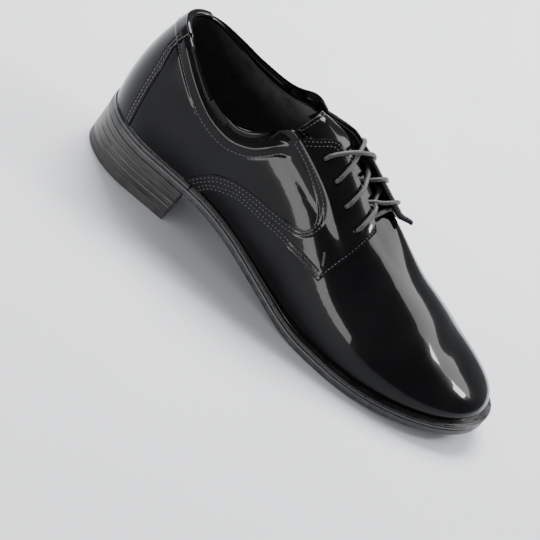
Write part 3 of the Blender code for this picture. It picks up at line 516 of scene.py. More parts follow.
def spots(g, lateral=True):
    """(a, q) of a patch put on its own side and kept on the form."""
    g = mirror(g, lateral)
    return g[..., 0], np.maximum(g[..., 1], 0)


def fractions(size, step):
    """Fractions 0-1 over a length in mm, finer within 1.3 mm of both ends."""
    lo = np.array([0, 0.08, 0.22, 0.42, 0.66, 0.95, 1.3]) / size
    hi = 1 - lo[::-1]
    mid = np.linspace(lo[-1], hi[0], int(size / step) + 1)[1:-1]
    return np.concatenate([lo, mid, hi])


# ---- mesh building --------------------------------------------------------------------------
# half width of the pressed channel under a stitch row
CHANNEL = 0.75


def add_mesh(name, points_mm, faces, material, weld=0.000004):
    pts = (np.asarray(points_mm, float).reshape(-1, 3) + ORIGIN_SHIFT) * MM
    me = bpy.data.meshes.new(name)
    me.from_pydata(pts.tolist(), [], [tuple(int(i) for i in f) for f in faces])
    if weld:
        bm = bmesh.new()
        bm.from_mesh(me)
        bmesh.ops.remove_doubles(bm, verts=bm.verts, dist=weld)
        bmesh.ops.recalc_face_normals(bm, faces=bm.faces)
        bm.to_mesh(me)
        bm.free()
    me.polygons.foreach_set("use_smooth", [True] * len(me.polygons))
    me.materials.append(material)
    ob = bpy.data.objects.new(name, me)
    bpy.context.scene.collection.objects.link(ob)
    return ob


def grid_faces(rows, cols, wrap_rows=False, wrap_cols=False, base=0):
    i = np.arange(rows if wrap_rows else rows - 1)
    j = np.arange(cols if wrap_cols else cols - 1)
    ii, jj = np.meshgrid(i, j, indexing="ij")
    i2 = (ii + 1) % rows
    j2 = (jj + 1) % cols
    f = np.stack([ii * cols + jj, ii * cols + j2, i2 * cols + j2, i2 * cols + jj], -1)
    return f.reshape(-1, 4) + base


def capped_faces(rows, cols, base=0):
    """Faces of a closed tube: rows of points along it, cols round it."""
    last = base + (rows - 1) * cols
    return (grid_faces(rows, cols, wrap_cols=True, base=base).tolist()
            + [range(base + cols - 1, base - 1, -1), range(last, last + cols)])


def sheet(name, outer, inner, material):
    """Closed body between two skins of the same rows and columns."""
    r, c = outer.shape[:2]
    loop = ([(0, j) for j in range(c)] + [(i, c - 1) for i in range(1, r)]
            + [(r - 1, j) for j in range(c - 2, -1, -1)] + [(i, 0) for i in range(r - 2, 0, -1)])
    ids = np.array([i * c + j for i, j in loop])
    nxt = np.roll(ids, -1)
    walls = np.stack([ids, ids + r * c, nxt + r * c, nxt], -1)
    faces = np.concatenate([grid_faces(r, c), grid_faces(r, c, base=r * c)[:, ::-1], walls])
    return add_mesh(name, np.concatenate([outer.reshape(-1, 3), inner.reshape(-1, 3)]), faces, material)


def floor_clamp(p):
    """Keep points just above the insole."""
    p[..., 2] = np.maximum(p[..., 2], seat_z(LENGTH / 2 - p[..., 1]) + 0.02)
    return p


def rounded(d, r):
    """Half thickness at distance d from a free edge rounded at radius r."""
    return r * np.sqrt(np.maximum(1 - (1 - np.clip(d / r, 0, 1)) ** 2, 0))


def place(ob, body, nodes=()):
    if body:
        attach(ob, body)
    if nodes:
        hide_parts(*nodes)
    return ob


def leather(name, a, q, off, thick, material, edges=(), rows=(), nodes=(), depth=0.28, extra=0.0):
    """A leather panel with rounded free edges and a pressed channel under each stitch row."""
    base = surface(a, q, off)
    nrm = normal_at(a, q)
    level = float(np.median(off))
    half = np.full(a.shape, thick / 2)
    if len(edges):
        d = nearest(base, np.concatenate([dense(e) for e in edges]))
        d = np.minimum(d, nearest(base, np.concatenate([dense(e, level) for e in edges])))
        half = rounded(d, thick / 2)
    drop = np.zeros(a.shape)
    if len(rows):
        near = nearest(base, np.concatenate([dense(r, level) for r in rows]))
        drop = depth * np.exp(-(near / CHANNEL) ** 2) - 0.10 * depth * np.exp(-((near - 1.6) / 0.7) ** 2)
    drop = drop - extra
    mid = base - nrm * (thick / 2)
    outer = floor_clamp(mid + nrm * (half - drop)[..., None])
    inner = floor_clamp(mid - nrm * half[..., None])
    return place(sheet(name, outer, inner, material), "shoe", nodes)


def tube(name, centres, radii, material, sides):
    """Round body along a centre line; radii vary along it, and round it when 2-D."""
    c = np.asarray(centres, float)
    t = unit(np.gradient(c, axis=0))
    u = np.cross(t[0], np.array([0.0, 0.0, 1.0]))
    frames = []
    for k in range(len(c)):
        u = u - t[k] * (u @ t[k])
        u /= np.linalg.norm(u)
        frames.append(u.copy())
    u = np.array(frames)
    v = np.cross(t, u)
    w = 2 * PI * np.arange(sides) / sides
    r = radii if radii.ndim == 2 else radii[:, None]
    spokes = u[:, None] * np.cos(w)[None, :, None] + v[:, None] * np.sin(w)[None, :, None]
    return add_mesh(name, c[:, None] + spokes * r[..., None], capped_faces(len(c), sides), material, weld=0)


def stitches(name, lines, off_of, pitch=2.5, length=1.95, radius=0.24, body="shoe", sink=0.12):
    """Separate thread stitches along seam lines of (a, q) places, each a small domed capsule."""
    along_one = np.linspace(-1, 1, 7)
    ring = 8
    w = 2 * PI * np.arange(ring) / ring
    pts, faces = [], []
    for line in lines:
        f = along(line, 120)
        p = surface(f[:, 0], f[:, 1], off_of(f[:, 0], f[:, 1]))
        n = normal_at(f[:, 0], f[:, 1])
        d = np.r_[0, np.cumsum(np.linalg.norm(np.diff(p, axis=0), axis=1))]

        def on(table, x):
            return np.array([np.interp(x, d, table[:, i]) for i in range(3)])
        count = int(d[-1] / pitch)
        for k in range(count):
            mid = (k + 0.5) * d[-1] / count
            m = on(p, mid)
            t = on(p, mid + length / 2) - on(p, mid - length / 2)
            t /= np.linalg.norm(t)
            up = on(n, mid)
            up = up - t * (up @ t)
            up /= np.linalg.norm(up)
            side = np.cross(t, up)
            lean = side * 0.10 * (1 if k % 2 else -1)
            faces += capped_faces(len(along_one), ring, len(pts))
            for x in along_one:
                r = radius * math.sqrt(max(1 - abs(x) ** 3, 0.02))
                c = m + t * x * length / 2 + up * (0.16 * (1 - x * x) - sink) + lean * x
                for angle in w:
                    pts.append(c + side * math.cos(angle) * r * 1.1 + up * math.sin(angle) * r)
    return place(add_mesh(name, pts, faces, THREAD, weld=0), body)


# ---- materials -------------------------------------------------------------------------------
TEXTURES = {"noise": ("TexNoise", "Fac", {"Detail": 3.0}), "cells": ("TexVoronoi", "Distance", {}),
            "wave": ("TexWave", "Fac", {"Distortion": 1.2, "Detail": 2.0})}


def material(name, low, high, rough, scale=60.0, detail=4.0, bumps=(), coat=0.0, coat_rough=0.03,
             metallic=0.0, stretch=(1, 1, 1), specular=0.5, sheen=0.0, rough_spread=0.0, coat_ior=1.5):
    """Procedural finish: colour and roughness from noise, relief from a chain of bump layers."""
    m = bpy.data.materials.new(name)
    m.use_nodes = True
    tree = m.node_tree

    def fill(node, inputs):
        """Link an input where it is given another node's output, otherwise set its value."""
        for socket, value in inputs.items():
            if isinstance(value, bpy.types.NodeSocket):
                tree.links.new(value, node.inputs[socket])
            else:
                node.inputs[socket].default_value = value
        return node

    def add(kind, inputs):
        return fill(tree.nodes.new("ShaderNode" + kind), inputs)

    shader = fill(tree.nodes["Principled BSDF"], {
        "Metallic": metallic, "Specular IOR Level": specular, "Coat Weight": coat,
        "Coat Roughness": coat_rough, "Coat IOR": coat_ior, "Roughness": rough})
    if sheen:
        fill(shader, {"Sheen Weight": sheen, "Sheen Roughness": 0.5})
    spot = add("TexCoord", {}).outputs["Object"]
    spot = add("Mapping", {"Scale": stretch, "Vector": spot}).outputs["Vector"]
    noise = add("TexNoise", {"Scale": scale, "Detail": detail, "Vector": spot}).outputs["Fac"]
    ramp = add("ValToRGB", {"Fac": noise})
    for k, position, colour in ((0, 0.32, low), (1, 0.68, high)):
        ramp.color_ramp.elements[k].position = position
        ramp.color_ramp.elements[k].color = (*colour, 1)
    fill(shader, {"Base Color": ramp.outputs["Color"]})
    if rough_spread:
        spread = add("MapRange", {"From Min": 0.3, "From Max": 0.7, "To Min": max(rough - rough_spread, 0.01),
                                  "To Max": rough + rough_spread, "Value": noise})
        fill(shader, {"Roughness": spread.outputs["Result"]})
    normal = {}
    for kind, bump_scale, distance, strength in bumps:
        node, output, inputs = TEXTURES[kind]
        height = add(node, {**inputs, "Scale": bump_scale, "Vector": spot}).outputs[output]
        bump = add("Bump", {"Strength": strength, "Distance": distance, "Height": height, **normal})
        normal = {"Normal": bump.outputs["Normal"]}
    fill(shader, normal)
    if normal and coat:
        fill(shader, {"Coat Normal": normal["Normal"]})
    return m


PATENT = material("patent_leather", (0.0015, 0.0015, 0.0017), (0.0038, 0.0038, 0.0041), 0.20, scale=35,
                  coat=0.6, coat_rough=0.03, rough_spread=0.05, coat_ior=1.3, specular=0.04,
                  bumps=[("noise", 42, 0.00045, 0.35), ("noise", 160, 0.00005, 0.30),
                         ("noise", 1500, 0.00001, 0.25)])
EDGE_LEATHER = material("cut_edge", (0.003, 0.003, 0.0034), (0.009, 0.009, 0.009), 0.40, scale=300,
                        rough_spread=0.1, specular=0.25, bumps=[("noise", 900, 0.00006, 0.5)])
LINING = material("lining_leather", (0.016, 0.0155, 0.016), (0.034, 0.033, 0.034), 0.58, scale=120,
                  rough_spread=0.12, bumps=[("cells", 1500, 0.00010, 0.5), ("noise", 90, 0.0003, 0.3)])
SOCK = material("sock_leather", (0.11, 0.112, 0.12), (0.165, 0.167, 0.176), 0.62, scale=90, rough_spread=0.12,
                bumps=[("cells", 1300, 0.00012, 0.5), ("noise", 70, 0.0003, 0.3)])
THREAD = material("thread", (0.035, 0.035, 0.037), (0.095, 0.095, 0.098), 0.40, scale=900,
                  bumps=[("noise", 2600, 0.00005, 0.7)], rough_spread=0.1)
LACE = material("lace_cotton", (0.009, 0.009, 0.010), (0.030, 0.030, 0.032), 0.55, scale=1400,
                rough_spread=0.12, bumps=[("noise", 3800, 0.00008, 0.8)], sheen=0.15)
STACK = material("stacked_heel", (0.005, 0.0044, 0.0042), (0.030, 0.026, 0.0235), 0.34, scale=55, detail=8,
                 stretch=(1, 1, 26), rough_spread=0.12, coat=0.25, coat_rough=0.22,
                 bumps=[("noise", 260, 0.00006, 0.45)])
WELT = material("welt_rubber", (0.006, 0.006, 0.0065), (0.018, 0.018, 0.019), 0.33, scale=260,
                rough_spread=0.10, coat=0.15, coat_rough=0.2, bumps=[("noise", 900, 0.00005, 0.4)])
SOLE = material("outsole_rubber", (0.009, 0.009, 0.0095), (0.024, 0.024, 0.025), 0.42, scale=200,
                rough_spread=0.12, bumps=[("noise", 700, 0.00007, 0.5), ("cells", 900, 0.00005, 0.3)])
HEEL_RUBBER = material("heel_rubber", (0.010, 0.010, 0.010), (0.024, 0.023, 0.023), 0.55, scale=240,
                       bumps=[("noise", 800, 0.0001, 0.5)], rough_spread=0.1)
BOARD = material("insole_board", (0.20, 0.14, 0.09), (0.32, 0.23, 0.15), 0.8, scale=500,
                 bumps=[("noise", 900, 0.0001, 0.5)])
CORK = material("cork_granules", (0.20, 0.12, 0.06), (0.42, 0.27, 0.15), 0.9, scale=420,
                bumps=[("cells", 500, 0.0003, 0.6)])
FOAM = material("collar_foam", (0.20, 0.20, 0.19), (0.28, 0.28, 0.27), 0.95, scale=700,
                bumps=[("cells", 1400, 0.0002, 0.6)])
STIFF = material("stiffener_cloth", (0.42, 0.38, 0.31), (0.55, 0.50, 0.42), 0.85, scale=600,
                 bumps=[("wave", 900, 0.0001, 0.5)])
STEEL = material("shank_steel", (0.42, 0.42, 0.43), (0.55, 0.55, 0.56), 0.32, scale=150, metallic=1.0,
                 stretch=(1, 20, 1), bumps=[("noise", 600, 0.00003, 0.4)])
EYELET = material("eyelet_metal", (0.04, 0.04, 0.042), (0.09, 0.09, 0.095), 0.35, scale=400, metallic=1.0,
                  bumps=[("noise", 900, 0.00003, 0.4)])
AGLET = material("aglet_plastic", (0.010, 0.010, 0.011), (0.020, 0.020, 0.021), 0.22, scale=200,
                 bumps=[("noise", 700, 0.00003, 0.4)])
# near-black finish for the discs in the lacing holes: painted shadow standing in for the depth of holes that
# are not cut
PAINTED_HOLE_SHADOW = material("hole_shadow", (0.001, 0.001, 0.001), (0.003, 0.003, 0.003), 0.8, scale=500,
                bumps=[("noise", 900, 0.0001, 0.5)])

# parts that keep their CAD shape and only take a finish
FINISH = {"insole": BOARD, "heel_seat": BOARD, "cork_filler": CORK, "shank": STEEL, "toe_puff": STIFF,
          "heel_counter": STIFF, "collar_padding": FOAM}
for node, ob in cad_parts.items():
    if node in FINISH or node.startswith("eyelet_"):
        ob.data.materials.clear()
        ob.data.materials.append(FINISH.get(node, EYELET))


# ---- layer heights over the form (mm) --------------------------------------------------------
FACING_PROUD = 0.35
QUARTER_LOW = 0.45
FACING_THICK = 1.7
QUARTER_THICK = 1.2
STRAP_THICK = 1.6
TONGUE_THICK = 1.9
LINING_THICK = 0.8
PUFF = 0.9
# how far the collar's stitch row lies below the top line, and the facing's rows from its edges
TOP_ROW = 9.0
ROW_NEAR = 1.6
ROW_FAR = 3.9
# stitch rows end at this q, just above the welt
ROW_FOOT = 0.006


def shell_off(a, q):
    return facing_offset(a, q, 1)


def facing_off(a, q):
    return shell_off(a, q) + FACING_PROUD


def quarter_off(a, q):
    return shell_off(a, q) - QUARTER_LOW


def strap_off(a, q):
    return np.full(np.shape(a), LEATHER[1] + 0.45)


def vamp_off(a, q):
    u = folded(a)
    return LEATHER[1] - 0.45 * (1 - smooth((u - 0.53) / 0.06) * 0.7)


def whole_topline():
    """From the medial facing round the heel to the lateral facing, as (a, q) with a below 0 medially."""
    a = np.linspace(-TOPLINE_END, TOPLINE_END, 401)
    q = np.where(a > 0, curve(TOPLINE_LATERAL)(np.abs(a)), curve(TOPLINE_MEDIAL)(np.abs(a)))
    return soften(np.stack([a, q], -1), 30)


TOPLINE = whole_topline()


def top_q(a):
    return np.interp(a, TOPLINE[:, 0], TOPLINE[:, 1])


def top_side(lateral, lo, hi, count):
    t = TOPLINE[TOPLINE[:, 0] >= 0] if lateral else TOPLINE[TOPLINE[:, 0] <= 0][::-1] * [-1, 1]
    a = np.linspace(lo, hi, count)
    return np.stack([a, np.interp(a, t[:, 0], t[:, 1])], -1)


def from_top(lateral, a, rows):
    """A seam that starts on the top line at a."""
    return [tuple(top_side(lateral, a, a, 1)[0])] + rows


def seam_u(lateral):
    return smooth_line(from_top(lateral, TOPLINE_END, QUARTER_SEAM), 10)


def seam_strap(lateral):
    return smooth_line(from_top(lateral, STRAP_TOP, STRAP_SEAM), 20)


def free_edge(lateral):
    """Facing top and lacing edge as one rounded line, then the front seam and the band seam."""
    top = from_top(lateral, TOPLINE_END, FACING_TOP if lateral else FACING_TOP_MEDIAL)
    lace = LACE_EDGE if lateral else LACE_EDGE_MEDIAL
    front = FRONT_SEAM if lateral else FRONT_SEAM_MEDIAL
    return soften(along(top + lace, 240), 10), np.array(front, float), np.array(BAND_SEAM, float)


def quarter_piece(lateral):
    left = seam_strap(lateral) - [0.012, 0.0]
    right = mirror(across(seam_u(lateral), 5.0, lateral), lateral)
    right[:, 1] = np.maximum(right[:, 1], 0.0)
    right[-1, 1] = 0.0
    top = mirror(across(top_side(lateral, left[0, 0], TOPLINE_END, 120), -1.6, lateral), lateral)
    left[0] = top[0]
    right[0] = top[-1] + [0.012, 0.0]
    a, q = spots(patch(left, right, top, np.linspace(0, 1, 170), np.linspace(0, 1, 100)), lateral)
    base = surface(a, q, 3.0)
    line = mirror(top_side(lateral, 0.08, TOPLINE_END, 300), lateral)
    d = nearest(base, surface(line[:, 0], line[:, 1], 3.0))
    puff = PUFF * np.exp(-((d - 4.6) / 2.6) ** 2) - 0.25 * np.exp(-((d - TOP_ROW) / 1.0) ** 2)
    row = soften(across(top_side(lateral, 0.118, 0.375, 200), -TOP_ROW, lateral), 6)
    leather(side_name("quarter_upper", lateral), a, q, quarter_off(a, q), QUARTER_THICK, PATENT, rows=[row],
            extra=puff, nodes=[side_name("quarter", lateral)], depth=0.2)
    stitches(side_name("topline_stitch", lateral), [row], lambda x, y: quarter_off(x, y) - 0.12)


def facing_piece(lateral):
    left = seam_u(lateral)
    one, front, band = free_edge(lateral)
    corner = 90
    top, lace = one[:corner + 1], one[corner:]
    front = along(front, 60)
    front[0] = lace[-1]
    band = along(band, 110)
    right = np.vstack([along(lace, 61), along(front, 57)[1:], along(band, 85)[1:]])
    g = patch(left, right, top, fractions(46.0, 0.62), np.linspace(0, 1, len(right)))
    # extra rows close to the top edge
    g = np.concatenate([g[:1], g[:1] * 0.88 + g[1:2] * 0.12, g[:1] * 0.65 + g[1:2] * 0.35, g[1:]], 0)
    a, q = spots(g, lateral)
    edges = [mirror(e, lateral) for e in (left, top, np.vstack([lace, front[1:], band[1:]]))]
    base = surface(a, q, 5.0)
    dimple = np.zeros(a.shape)
    for x, y in HOLES:
        d = np.linalg.norm(base - surface(x if lateral else 2 - x - MEDIAL_AHEAD, y, 5.0), axis=-1)
        dimple += -1.5 * (1 - smooth((d - 0.9) / 1.5)) + 0.22 * np.exp(-((d - 2.9) / 0.7) ** 2)
    rows = facing_rows(lateral)
    leather(side_name("facing_upper", lateral), a, q, facing_off(a, q), FACING_THICK, PATENT, edges=edges,
            rows=rows, nodes=[side_name("facing", lateral)], extra=dimple, depth=0.26)
    stitches(side_name("facing_stitch", lateral), rows, lambda x, y: facing_off(x, y) - 0.16)
    tack(lateral)


def facing_rows(lateral):
    """Two stitch rows inside the quarter seam, two round the free edge and two along the band."""
    one, front, band = free_edge(lateral)
    edge = soften(along(np.vstack([one, along(front, 60)[1:]]), 300), 14)
    band = soften(along(band, 200), 4)
    seam = seam_u(lateral)
    rows = []
    for line, dist, passes, start, end in (
            (seam, ROW_NEAR, 4, 3, -1), (seam, ROW_FAR, 8, 8, -1), (edge, -ROW_NEAR, 6, 6, -8),
            (edge[:156], -ROW_FAR, 10, 14, None), (band, -ROW_NEAR, 3, 5, -1), (band, -ROW_FAR, 3, 9, -1)):
        row = soften(across(line, dist, lateral), passes)[start:end]
        rows.append(row[row[:, 1] > ROW_FOOT])
    return rows


def tack(lateral):
    """Dense bar-tack across the seam end by the pointed corner."""
    a0, q0 = 0.531, 0.372
    c = mirror([[a0 - 0.0085, q0 + 0.030], [a0 + 0.0015, q0 - 0.018]], lateral)
    lines = []
    for k in range(11):
        t = k / 10
        line = np.array([c[0], c[0] * (1 - t) + c[1] * t if 0 < t < 1 else (c[0] + c[1]) / 2, c[1]])
        i = 0 if t == 0 else 2 if t == 1 else 1
        lines.append(np.array([sideways(line, 0.9)[i], sideways(line, -0.9)[i]]))
    stitches(side_name("bar_tack", lateral), lines, lambda x, y: facing_off(x, y) + 0.04, pitch=1.85,
             length=1.8, radius=0.26, sink=0.0)


def strap_piece():
    lat = seam_strap(True)
    med = seam_strap(False) * [-1, 1]
    a_top = np.linspace(med[0, 0], lat[0, 0], 60)
    top = np.stack([a_top, top_q(a_top) - 0.012], -1)
    med[0] = top[0]
    lat[0] = top[-1]
    a, q = spots(patch(med, lat, top, fractions(66.0, 0.6), np.linspace(0, 1, 110)))
    rows = []
    for line, dist in ((lat, -1.5), (lat, -3.6), (med, 1.5), (med, 3.6)):
        r = soften(sideways(line, dist), 4)[14:-1]
        rows.append(r[r[:, 1] > ROW_FOOT])
    # the folded tab at the top of the strap
    tab_a = np.linspace(-0.105, 0.105, 80)
    tab = np.stack([tab_a, top_q(tab_a)], -1)
    fold = 0.75 * (1 - smooth((nearest(surface(a, q, 4.0), dense(tab)) - 9.3) / 0.5))
    leather("backstrap_upper", a, q, strap_off(a, q), STRAP_THICK, PATENT, edges=[med, lat], rows=rows,
            extra=fold, nodes=["backstrap"], depth=0.24)
    stitches("backstrap_stitch", [r[int(len(r) * 0.12):] for r in rows], lambda x, y: strap_off(x, y) - 0.12)
    stitches("backstrap_tab_stitch", [sideways(tab, -8.0)[4:-4]], lambda x, y: strap_off(x, y) + 0.62)


def collar_roll():
    """The turned and lightly padded top edge, from one facing round the heel to the other."""
    down = sideways(TOPLINE, -1.3)
    a, q = down[:, 0], down[:, 1]
    strap = smooth((0.118 - np.abs(a)) / 0.010)
    outer = shell_off(a % 2.0, q) - QUARTER_LOW + 0.15 + strap * 1.45
    inner = skin_offset(a % 2.0, q, 0) - 0.1
    c = surface(a, q, (outer + inner) / 2)
    n = normal_at(a, q)
    up = unit(np.cross(n, unit(np.gradient(c, axis=0))))
    tuck = smooth((TOPLINE_END - np.abs(a)) / 0.035)
    rise = (1.3 + 0.7 * strap) * (0.6 + 0.4 * tuck)
    sides = 28
    w = np.linspace(0, 2 * PI, sides + 1)[:-1]
    ripple = 1 + 0.03 * np.sin(np.linspace(0, 60, len(c)))[:, None]
    pts = (c[:, None] + n[:, None] * (np.cos(w)[None] * ((outer - inner) / 2)[:, None])[..., None]
           + up[:, None] * (np.sin(w)[None] * rise[:, None] * ripple)[..., None])
    ob = add_mesh("collar_roll", pts, capped_faces(len(c), sides), PATENT, weld=0)
    place(ob, "shoe")


def round_toe(halves, q):
    """One lattice of places from the lateral side round the toe to the medial side."""
    a = np.vstack([halves[0], 2 - halves[1][-2::-1]])
    return a, np.broadcast_to(q, a.shape).copy()


def vamp_piece():
    """Vamp from the lateral throat round the toe to the medial one."""
    q = np.concatenate([np.linspace(0, 0.28, 34)[:-1], np.linspace(0.28, 1.0, 62)])
    band = smooth_line(BAND_SEAM[::-1], 6)
    seam = np.where(q > 0.276, 1.0, np.interp(q, band[:, 1], band[:, 0]) - 0.014)
    halves = []
    for lateral in (True, False):
        rear = np.minimum(seam, under(q, lateral))
        cols = [rear + (0.60 - rear) * t for t in np.linspace(0, 1, 70)[:-1]]
        cols += [np.full(len(q), c) for c in 0.60 + 0.40 * np.linspace(0, 1, 110)]
        halves.append(np.array(cols))
    a, qq = round_toe(halves, q)
    base = surface(a, qq, 0)
    nrm = normal_at(a, qq)
    off = vamp_off(a, qq)
    u = folded(a)
    # flex creases behind the ball, and the pull-in where the upper meets the welt
    crease = (0.02 * np.sin((base[..., 1] + 0.35 * base[..., 0]) * 0.42) * smooth((0.66 - u) / 0.06)
              * smooth((u - 0.555) / 0.02) * smooth((qq - 0.45) / 0.3))
    foot = -0.5 * np.exp(-(qq / 0.03) ** 2)
    outer = floor_clamp(base + nrm * (off + crease + foot)[..., None])
    inner = floor_clamp(base + nrm * (off - 1.2)[..., None])
    r, c = a.shape
    m, n = r // 2, r * c
    ids = np.arange(n).reshape(r, c)
    # both halves share the points of the ridge
    ids[m + 1:, -1] = ids[:m, -1][::-1]
    skin = ids.reshape(-1)[grid_faces(r, c)]
    faces = [tuple(dict.fromkeys(f)) for f in np.concatenate([skin, skin[:, ::-1] + n]).tolist()]
    faces = [f for f in faces if len(f) > 2]
    for line in (ids[0], ids[-1], ids[:, 0]):
        faces += [(p, p + n, p2 + n, p2) for p, p2 in zip(line, line[1:])]
    ob = add_mesh("vamp_upper", np.concatenate([outer.reshape(-1, 3), inner.reshape(-1, 3)]), faces, PATENT)
    place(ob, "shoe", ["vamp"])


def lining_pieces():
    back, count = 0.0012, 60
    for lateral in (True, False):
        rows = top_side(lateral, back, 0.385, 120)
        q_top = rows[:, 1] - 0.02
        ahead = 0.0 if lateral else MEDIAL_AHEAD
        head = FACING_TOP if lateral else FACING_TOP_MEDIAL
        rise = along([(0.385, q_top[-1])] + head[:-1] + [(0.452 + ahead, 0.855)], 50)
        rise[:, 1] = np.maximum(rise[:, 1] - 0.012, q_top[-1])
        throat = along([(0.452 + ahead, 0.843), (0.533 + ahead, 0.855)], 40)
        top = np.vstack([np.stack([rows[:, 0], q_top], -1), rise[1:], throat[1:]])
        q_front = np.linspace(top[-1, 1], 0.0, count)
        left = np.stack([np.full(count, back), np.linspace(top[0, 1], 0, count)], -1)
        right = np.stack([under(q_front, lateral) - 0.003, q_front], -1)
        top[-1] = right[0]
        g = patch(left, right, along(top, 260), np.linspace(0, 1, 170), np.linspace(0, 1, 70))
        a, q = spots(g, lateral)
        leather(side_name("quarter_lining_skin", lateral), a, q, skin_offset(a, q, 1), LINING_THICK, LINING,
                nodes=[side_name("quarter_lining", lateral)])
    q = np.linspace(0, 1, count)
    halves = []
    for lateral in (True, False):
        rear = under(q, lateral) - 0.001
        halves.append(np.array([rear + (1.0 - rear) * t for t in np.linspace(0, 1, 80)]))
    a, qq = round_toe(halves, q)
    leather("vamp_lining_skin", a, qq, np.full(a.shape, SKIN[1]), LINING_THICK, LINING,
            nodes=["vamp_lining"])


def tongue_piece():
    """Built apart from the other panels and not attached to the shoe body; its hinge point is computed but
    not used.
    """
    steps = np.concatenate([np.linspace(0, 0.97, 90), [0.982, 0.991, 0.997, 1.0]])
    a = TONGUE_BASE + (TONGUE_TOP - TONGUE_BASE) * steps
    u = 2 * fractions(48.0, 0.7) - 1
    half = (1 - tongue_side(a))[:, None]
    round_off = smooth((a - TONGUE_TOP) / 0.02)[:, None]
    qq = 1 + u[None] * half * (0.90 + 0.10 * round_off)
    aa = a[:, None] - 0.008 * u[None] ** 2 * (1 - smooth((a - TONGUE_TOP) / 0.05))[:, None]
    aa = np.broadcast_to(aa, qq.shape).copy()

    def off(x, y):
        k = smooth((0.440 - folded(x)) / 0.045)
        low = TONGUE_CREST_SAG + (TONGUE_SIDE_SAG - TONGUE_CREST_SAG) * smooth(np.abs(1 - y) / 0.42)
        return TONGUE_LEATHER[1] - low * k

    def ring(inset):
        """The two sides and the free end, drawn in by about inset mm."""
        f = 1 - inset / 24.0
        return np.vstack([np.stack([aa[:, 0], 1 + (qq[:, 0] - 1) * f], -1),
                          np.stack([aa[-1] + inset / 400.0, 1 + (qq[-1] - 1) * f], -1),
                          np.stack([aa[::-1, -1], 1 + (qq[::-1, -1] - 1) * f], -1)])

    def on_top(line):
        return surface(line[:, 0], line[:, 1], off(line[:, 0], line[:, 1]))
    row = soften(along(ring(2.2), 400), 6)
    base = surface(aa, qq, off(aa, qq))
    nrm = normal_at(aa, qq)
    d = nearest(base, on_top(ring(0.0)))
    h = rounded(d, TONGUE_THICK / 2)
    drop = 0.25 * np.exp(-(nearest(base, on_top(row)) / CHANNEL) ** 2)
    pad = 0.5 * smooth(d / 6.0) - 0.25
    fold = 0.22 * np.sin(base[..., 1] * 0.30 + 0.8) * smooth(d / 8.0)
    mid = base - nrm * (TONGUE_THICK / 2)
    outer = mid + nrm * (h - drop + pad * smooth(d / 2) + fold)[..., None]
    ob = sheet("tongue_upper", outer, mid - nrm * h[..., None], PATENT)
    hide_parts("tongue", "tongue_lining")
    hinge = (point_at(TONGUE_BASE, 1.0) + ORIGIN_SHIFT) * MM
    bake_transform(ob)
    st = stitches("tongue_stitch", [row[4:-4]], lambda x, y: off(x, y) - 0.1, body=None)
    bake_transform(st)


# ---- bottom ---------------------------------------------------------------------------------
def place_of(s):
    """The place a whose station is s."""
    return math.acos(1 - 2 * (s - FORM_BACK) / FORM_LENGTH) / PI


BREAST_A = place_of(HEEL_BREAST)


def edge_frame(a):
    fx, fs = feather(a)
    nx, ns = feather_normal(a)
    return fx, fs, nx, ns, edge_width(fs)


def rail(name, a, section, material, nodes):
    """Sweeps a profile round the sole; rows are (distance, height, 1 from its edge / 0 from the feather)."""
    fx, fs, nx, ns, width = edge_frame(a)
    pts = []
    for off, z, at_edge in section:
        e = width + off if at_edge else np.full(len(a), off)
        s = fs + ns * e
        pts.append(np.stack([fx + nx * e, LENGTH / 2 - s, sole_z(np.minimum(s, 400)) + z], -1))
    ob = add_mesh(name, np.stack(pts, 1), capped_faces(len(a), len(section)), material, weld=0)
    return place(ob, "shoe", nodes)


def arc(c0, c1, r, t0, t1, n):
    """Rows of a rounded corner, measured from the sole edge."""
    return [(c0 + r * math.cos(t), c1 + r * math.sin(t), 1) for t in np.linspace(t0, t1, n)]


def rims():
    """The welt's edge with its stitched groove, and the plain rand round the heel."""
    b = OUTSOLE_T + 0.15
    t = SEAT_T
    foot = [(-3.0, b, 0), (-0.35, b, 1)] + arc(-0.35, b + 0.35, 0.35, -PI / 2, 0, 5)
    section = foot + arc(-0.40, b + 1.35, 0.40, 0, PI / 2, 5)
    section += [(-0.62, b + 1.80, 1), (-0.66, b + 1.95, 1), (-0.62, b + 2.10, 1)]
    section += arc(-0.38, b + 2.42, 0.38, -PI / 3, PI / 2, 7)
    section += [(-1.0, b + 2.72, 1), (-1.35, b + 2.64, 1), (-1.8, b + 2.76, 1), (-2.3, b + 2.95, 1),
                (-2.8, b + 2.96, 1)]
    section += [(3.72, t - 0.35, 0), (3.3, t - 0.1, 0), (2.0, t - 0.1, 0), (-3.0, t - 0.15, 0)]
    aw = np.linspace(BREAST_A + 0.004, 2 - BREAST_A - 0.004, 420)
    rail("welt_edge", aw, section, WELT, ["welt"])
    ar = np.linspace(-BREAST_A - 0.003, BREAST_A + 0.003, 200)
    section = foot + arc(-0.45, b + 1.9, 0.45, 0, PI / 2, 6) + [(-0.9, b + 2.45, 1), (-1.0, b + 2.6, 1)]
    section += arc(-1.0, b + 2.85, 0.25, -PI / 2, PI / 2, 6)
    section += [(-1.9, b + 3.15, 1), (3.0, t - 0.1, 0), (1.0, t - 0.1, 0), (-3.0, t - 0.15, 0)]
    rail("heel_rand_edge", ar, section, WELT, ["heel_rand"])


